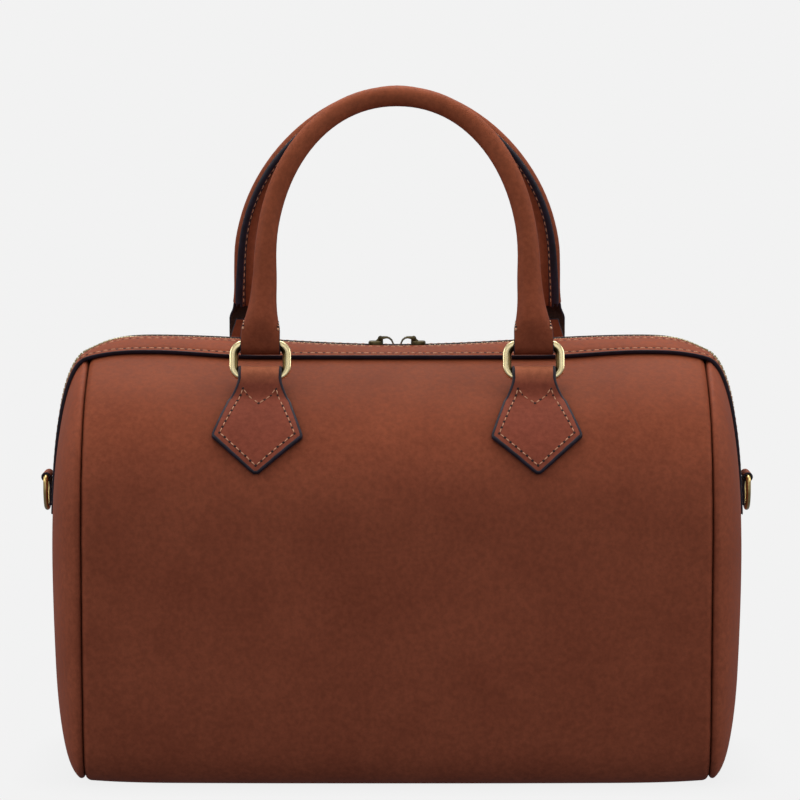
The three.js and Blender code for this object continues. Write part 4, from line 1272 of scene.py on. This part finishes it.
def kite_tab(label, x, side, pivot):
    """A strap end cut as a kite, folded round the ring's bar and sewn down on itself, with painted edges."""
    seat, gap = bar_seat(x, pivot)

    def at(drop, aside, height):
        lean = math.copysign(KITE_SPLAY * max(0, drop), x)
        return panel_point(x + aside + lean, side, seat + drop, height)

    def fold(radius, turn):
        return -radius * math.sin(turn), gap + radius * math.cos(turn)

    def over(drop):
        return lerp(gap + LOOP_RADIUS, KITE_LIFT + 2 * KITE_THICK, smoothstep(drop, 0, KITE_NECK))

    def under(drop):
        return lerp(gap - LOOP_RADIUS, KITE_LIFT, smoothstep(drop, 0, KITE_NECK))

    drops = steps(KITE_TOP, KITE_WIDEST[0], KITE_UPPER_ROWS)
    drops += steps(KITE_WIDEST[1], KITE_TIP, KITE_LOWER_ROWS)
    line = [(d, over(d)) for d in reversed(drops)]
    line += [fold(LOOP_RADIUS, turn) for turn in steps(0, math.pi, LOOP_STEPS)]
    line += [(d, under(d)) for d in drops]
    shares = steps(-1, 1, KITE_COLUMNS)
    places = [[at(d, s * read_off(KITE_HALF, d), h) for s in shares] for d, h in line]
    inward, up = FOLD_FACES
    piece = sewn_sheet(f"kite_tab_{label}_leather", places, (0, -side * inward, up), KITE_THICK, TAB_HIDE)
    hand_over(piece, f"kite_tab_{label}")

    inner = LOOP_RADIUS - KITE_THICK
    turns = steps(KITE_PAINT_TURN, 0, KITE_PAINT_STEPS)
    edge = [(fold(inner, turn), fold(LOOP_RADIUS, turn), STRAP_HALF) for turn in turns]
    for d in drops:
        low = lerp(over(d) - KITE_THICK, KITE_LIFT, smoothstep(d, KITE_LAYERS_MEET, KITE_NECK))
        edge.append(((d, low), (d, over(d)), read_off(KITE_HALF, d)))
    path = [(low, high, -aside) for low, high, aside in edge] + edge[::-1]
    lows = [at(d, aside, h) for (d, h), _, aside in path]
    highs = [at(d, aside, h) for _, (d, h), aside in path]
    painted_bead(f"kite_tab_{label}_edge", lows, highs, KITE_PAINT_HALF)

    corners = [Vector(c) for c in KITE_SEAM]
    stations = []
    for a, b in zip(corners, corners[1:] + corners[:1]):
        flat = [a.lerp(b, t) for t in steps(0, 1, KITE_SEAM_STEPS)]
        line = [at(p.x, p.y, over(p.x)) for p in flat]
        outs = [section_out(seat + p.x, side) for p in flat]
        stations += walk(line, outs, KITE_PITCH)
    sew(f"stitches_kite_tab_{label}", stations, KITE_PITCH)


def end_tab(hand, way):
    """A short strap sewn over the zip's lower end and folded over the D-ring's bar."""
    columns = steps(-END_TAB_HALF, END_TAB_HALF, END_TAB_COLUMNS)
    low = steps(END_TAB_LOW, D_AXIS.z - END_TAB_CLEAR, END_TAB_ROWS)
    turns = steps(END_LOOP_FROM, END_LOOP_TO, END_LOOP_STEPS)
    loop = [(D_AXIS.x + END_LOOP * math.cos(a), D_AXIS.z + END_LOOP * math.sin(a)) for a in turns]

    def over(y, z):
        return Vector((way * (dome_x(y, z) + END_TAB_OVER), y, z))

    places = [[over(y, z) for y in columns] for z in low]
    places += [[Vector((way * x, y, z)) for y in columns] for x, z in loop]
    piece = sewn_sheet(f"end_tab_{hand}_leather", places, (way, 0, END_TAB_UP), END_TAB_THICK, STRAP_HIDE,
                       END_TAB_ROUND)
    hand_over(piece, f"end_tab_{hand}")
    sewn = END_TAB_HALF - END_TAB_MARGIN
    stations = []
    for z in (END_TAB_LOW + END_TAB_MARGIN, low[-1] - END_TAB_MARGIN / 2):
        line = [over(y, z) for y in steps(-sewn, sewn, END_TAB_COLUMNS)]
        stations += walk(line, [Vector((way, 0, 0))] * len(line), END_TAB_PITCH)
    sew(f"stitches_end_tab_{hand}", stations, END_TAB_PITCH)


def d_ring(hand, way):
    """A bent wire D that hangs from its straight bar."""
    bend = D_DROP - D_HALF * D_BOW
    bar = D_HALF - D_CORNER
    outline = [(y, 0) for y in steps(-bar, bar, D_BAR_STEPS)]
    for a in steps(math.pi / 2, 0, D_CORNER_STEPS)[1:]:
        outline.append((bar + D_CORNER * math.cos(a), D_CORNER * math.sin(a) - D_CORNER))
    for a in steps(0, -math.pi, D_BOW_STEPS):
        outline.append((D_HALF * math.cos(a), (D_DROP - bend) * math.sin(a) - bend))
    for a in steps(math.pi, math.pi / 2, D_CORNER_STEPS):
        outline.append((D_CORNER * math.cos(a) - bar, D_CORNER * math.sin(a) - D_CORNER))
    path = [Vector((0, y, z)) for y, z in outline]
    hang = Vector((way * D_AXIS.x, 0, D_AXIS.z))
    out = Vector((1, 0, 0))
    around = steps(0, 2 * math.pi, D_WIRE_STEPS)
    places = []
    for before, point, after in zip(path[-1:] + path[:-1], path, path[1:] + path[:1]):
        run = (after - before).normalized()
        side = Vector((0, -run.z, run.y))
        places.append([hang + point + (side * math.cos(a) + out * math.sin(a)) * D_WIRE for a in around])
    piece = tube(f"d_ring_{hand}_wire", places, D_RING_BRASS)
    hand_over(piece, f"d_ring_{hand}", body=f"{hand}_d_ring")


# Stage

def set_camera():
    turn = (math.pi / 2 - CAMERA_PITCH, 0, 0)
    bpy.ops.object.camera_add(location=Vector(CAMERA_PLACE) * MM, rotation=turn)
    camera = bpy.context.object
    camera.data.lens = LENS
    camera.data.sensor_width = SENSOR
    camera.data.clip_end = CAMERA_REACH * MM
    bpy.context.scene.camera = camera


def lay_floor():
    """Pale seamless floor: it glows at the backdrop's value and darkens only close under the bag."""
    bpy.ops.object.select_all(action="DESELECT")
    bpy.ops.mesh.primitive_plane_add(size=FLOOR_SIZE * MM)
    floor = bpy.context.object
    floor.name = "floor"
    paper = bpy.data.materials.new("floor_paper")
    paper.use_nodes = True
    tree = paper.node_tree
    tree.nodes.clear()
    pale = linear(BACKDROP)
    near = add_node(tree, "ShaderNodeAmbientOcclusion", {"Color": pale, "Distance": FLOOR_SHADE_REACH * MM},
                    samples=8)
    soft = add_node(tree, "ShaderNodeMix", {0: FLOOR_SHADE, 6: pale, 7: near.outputs["Color"]},
                    data_type="RGBA")
    glow = add_node(tree, "ShaderNodeEmission", {"Color": soft.outputs[2]})
    add_node(tree, "ShaderNodeOutputMaterial", {"Surface": glow.outputs["Emission"]})
    floor.data.materials.append(paper)
    floor.visible_diffuse = False
    floor.visible_glossy = False
    floor.visible_shadow = False


def light_room():
    """Soft light from above, less from the sides and little from below, in front of a pale backdrop."""
    world = bpy.data.worlds.new("studio")
    bpy.context.scene.world = world
    world.use_nodes = True
    tree = world.node_tree
    tree.nodes.clear()
    direction = add_node(tree, "ShaderNodeTexCoord").outputs["Generated"]
    height = add_node(tree, "ShaderNodeSeparateXYZ", {"Vector": direction}).outputs["Z"]
    upward = add_node(tree, "ShaderNodeMath", {0: height, 1: 0.5, 2: 0.5}, operation="MULTIPLY_ADD")
    room = add_node(tree, "ShaderNodeValToRGB", {"Fac": upward.outputs["Value"]},
                    zip(ROOM_RISES, (ROOM_LOW, grey(ROOM_HIGH)))).outputs["Color"]
    seen = add_node(tree, "ShaderNodeLightPath").outputs["Is Camera Ray"]
    mixed = add_node(tree, "ShaderNodeMix", {0: seen, 6: room, 7: linear(BACKDROP)}, data_type="RGBA")
    sky = add_node(tree, "ShaderNodeBackground", {"Color": mixed.outputs[2]})
    add_node(tree, "ShaderNodeOutputWorld", {"Surface": sky.outputs["Background"]})
    for name, place, size, watts in LIGHTS:
        aim = Vector(LIGHTS_AIM) - Vector(place)
        turn = aim.to_track_quat("-Z", "Y").to_euler()
        bpy.ops.object.light_add(type="AREA", location=place, rotation=turn)
        light = bpy.context.object
        light.name = name
        light.data.size = size
        light.data.energy = watts
    bpy.context.scene.view_settings.view_transform = "Standard"


set_camera()
lay_floor()
light_room()
body_wrap()
zip_tape()
zip_teeth()
for side_name, side in (("front", -1), ("back", 1)):
    zip_strip(side_name, side)
for hand, way in (("left", -1), ("right", 1)):
    end_panel(hand, way)
    end_tab(hand, way)
    d_ring(hand, way)
    rounded_copy(f"zip_slider_{hand}", "bag", SLIDER_ROUND)
    rounded_copy(f"zip_pull_{hand}", f"{hand}_zip_pull", PULL_ROUND)
for side_name, handle in HANDLES.items():
    rolled_handle(side_name, handle)
    side = -1 if side_name == "front" else 1
    for hand, way in (("left", -1), ("right", 1)):
        x = way * handle["foot"]
        label = f"{side_name}_{hand}"
        handle_ring(f"ring_{label}_metal", f"ring_{label}", handle, -side * x)
        kite_tab(label, x, side, handle["pivot"])
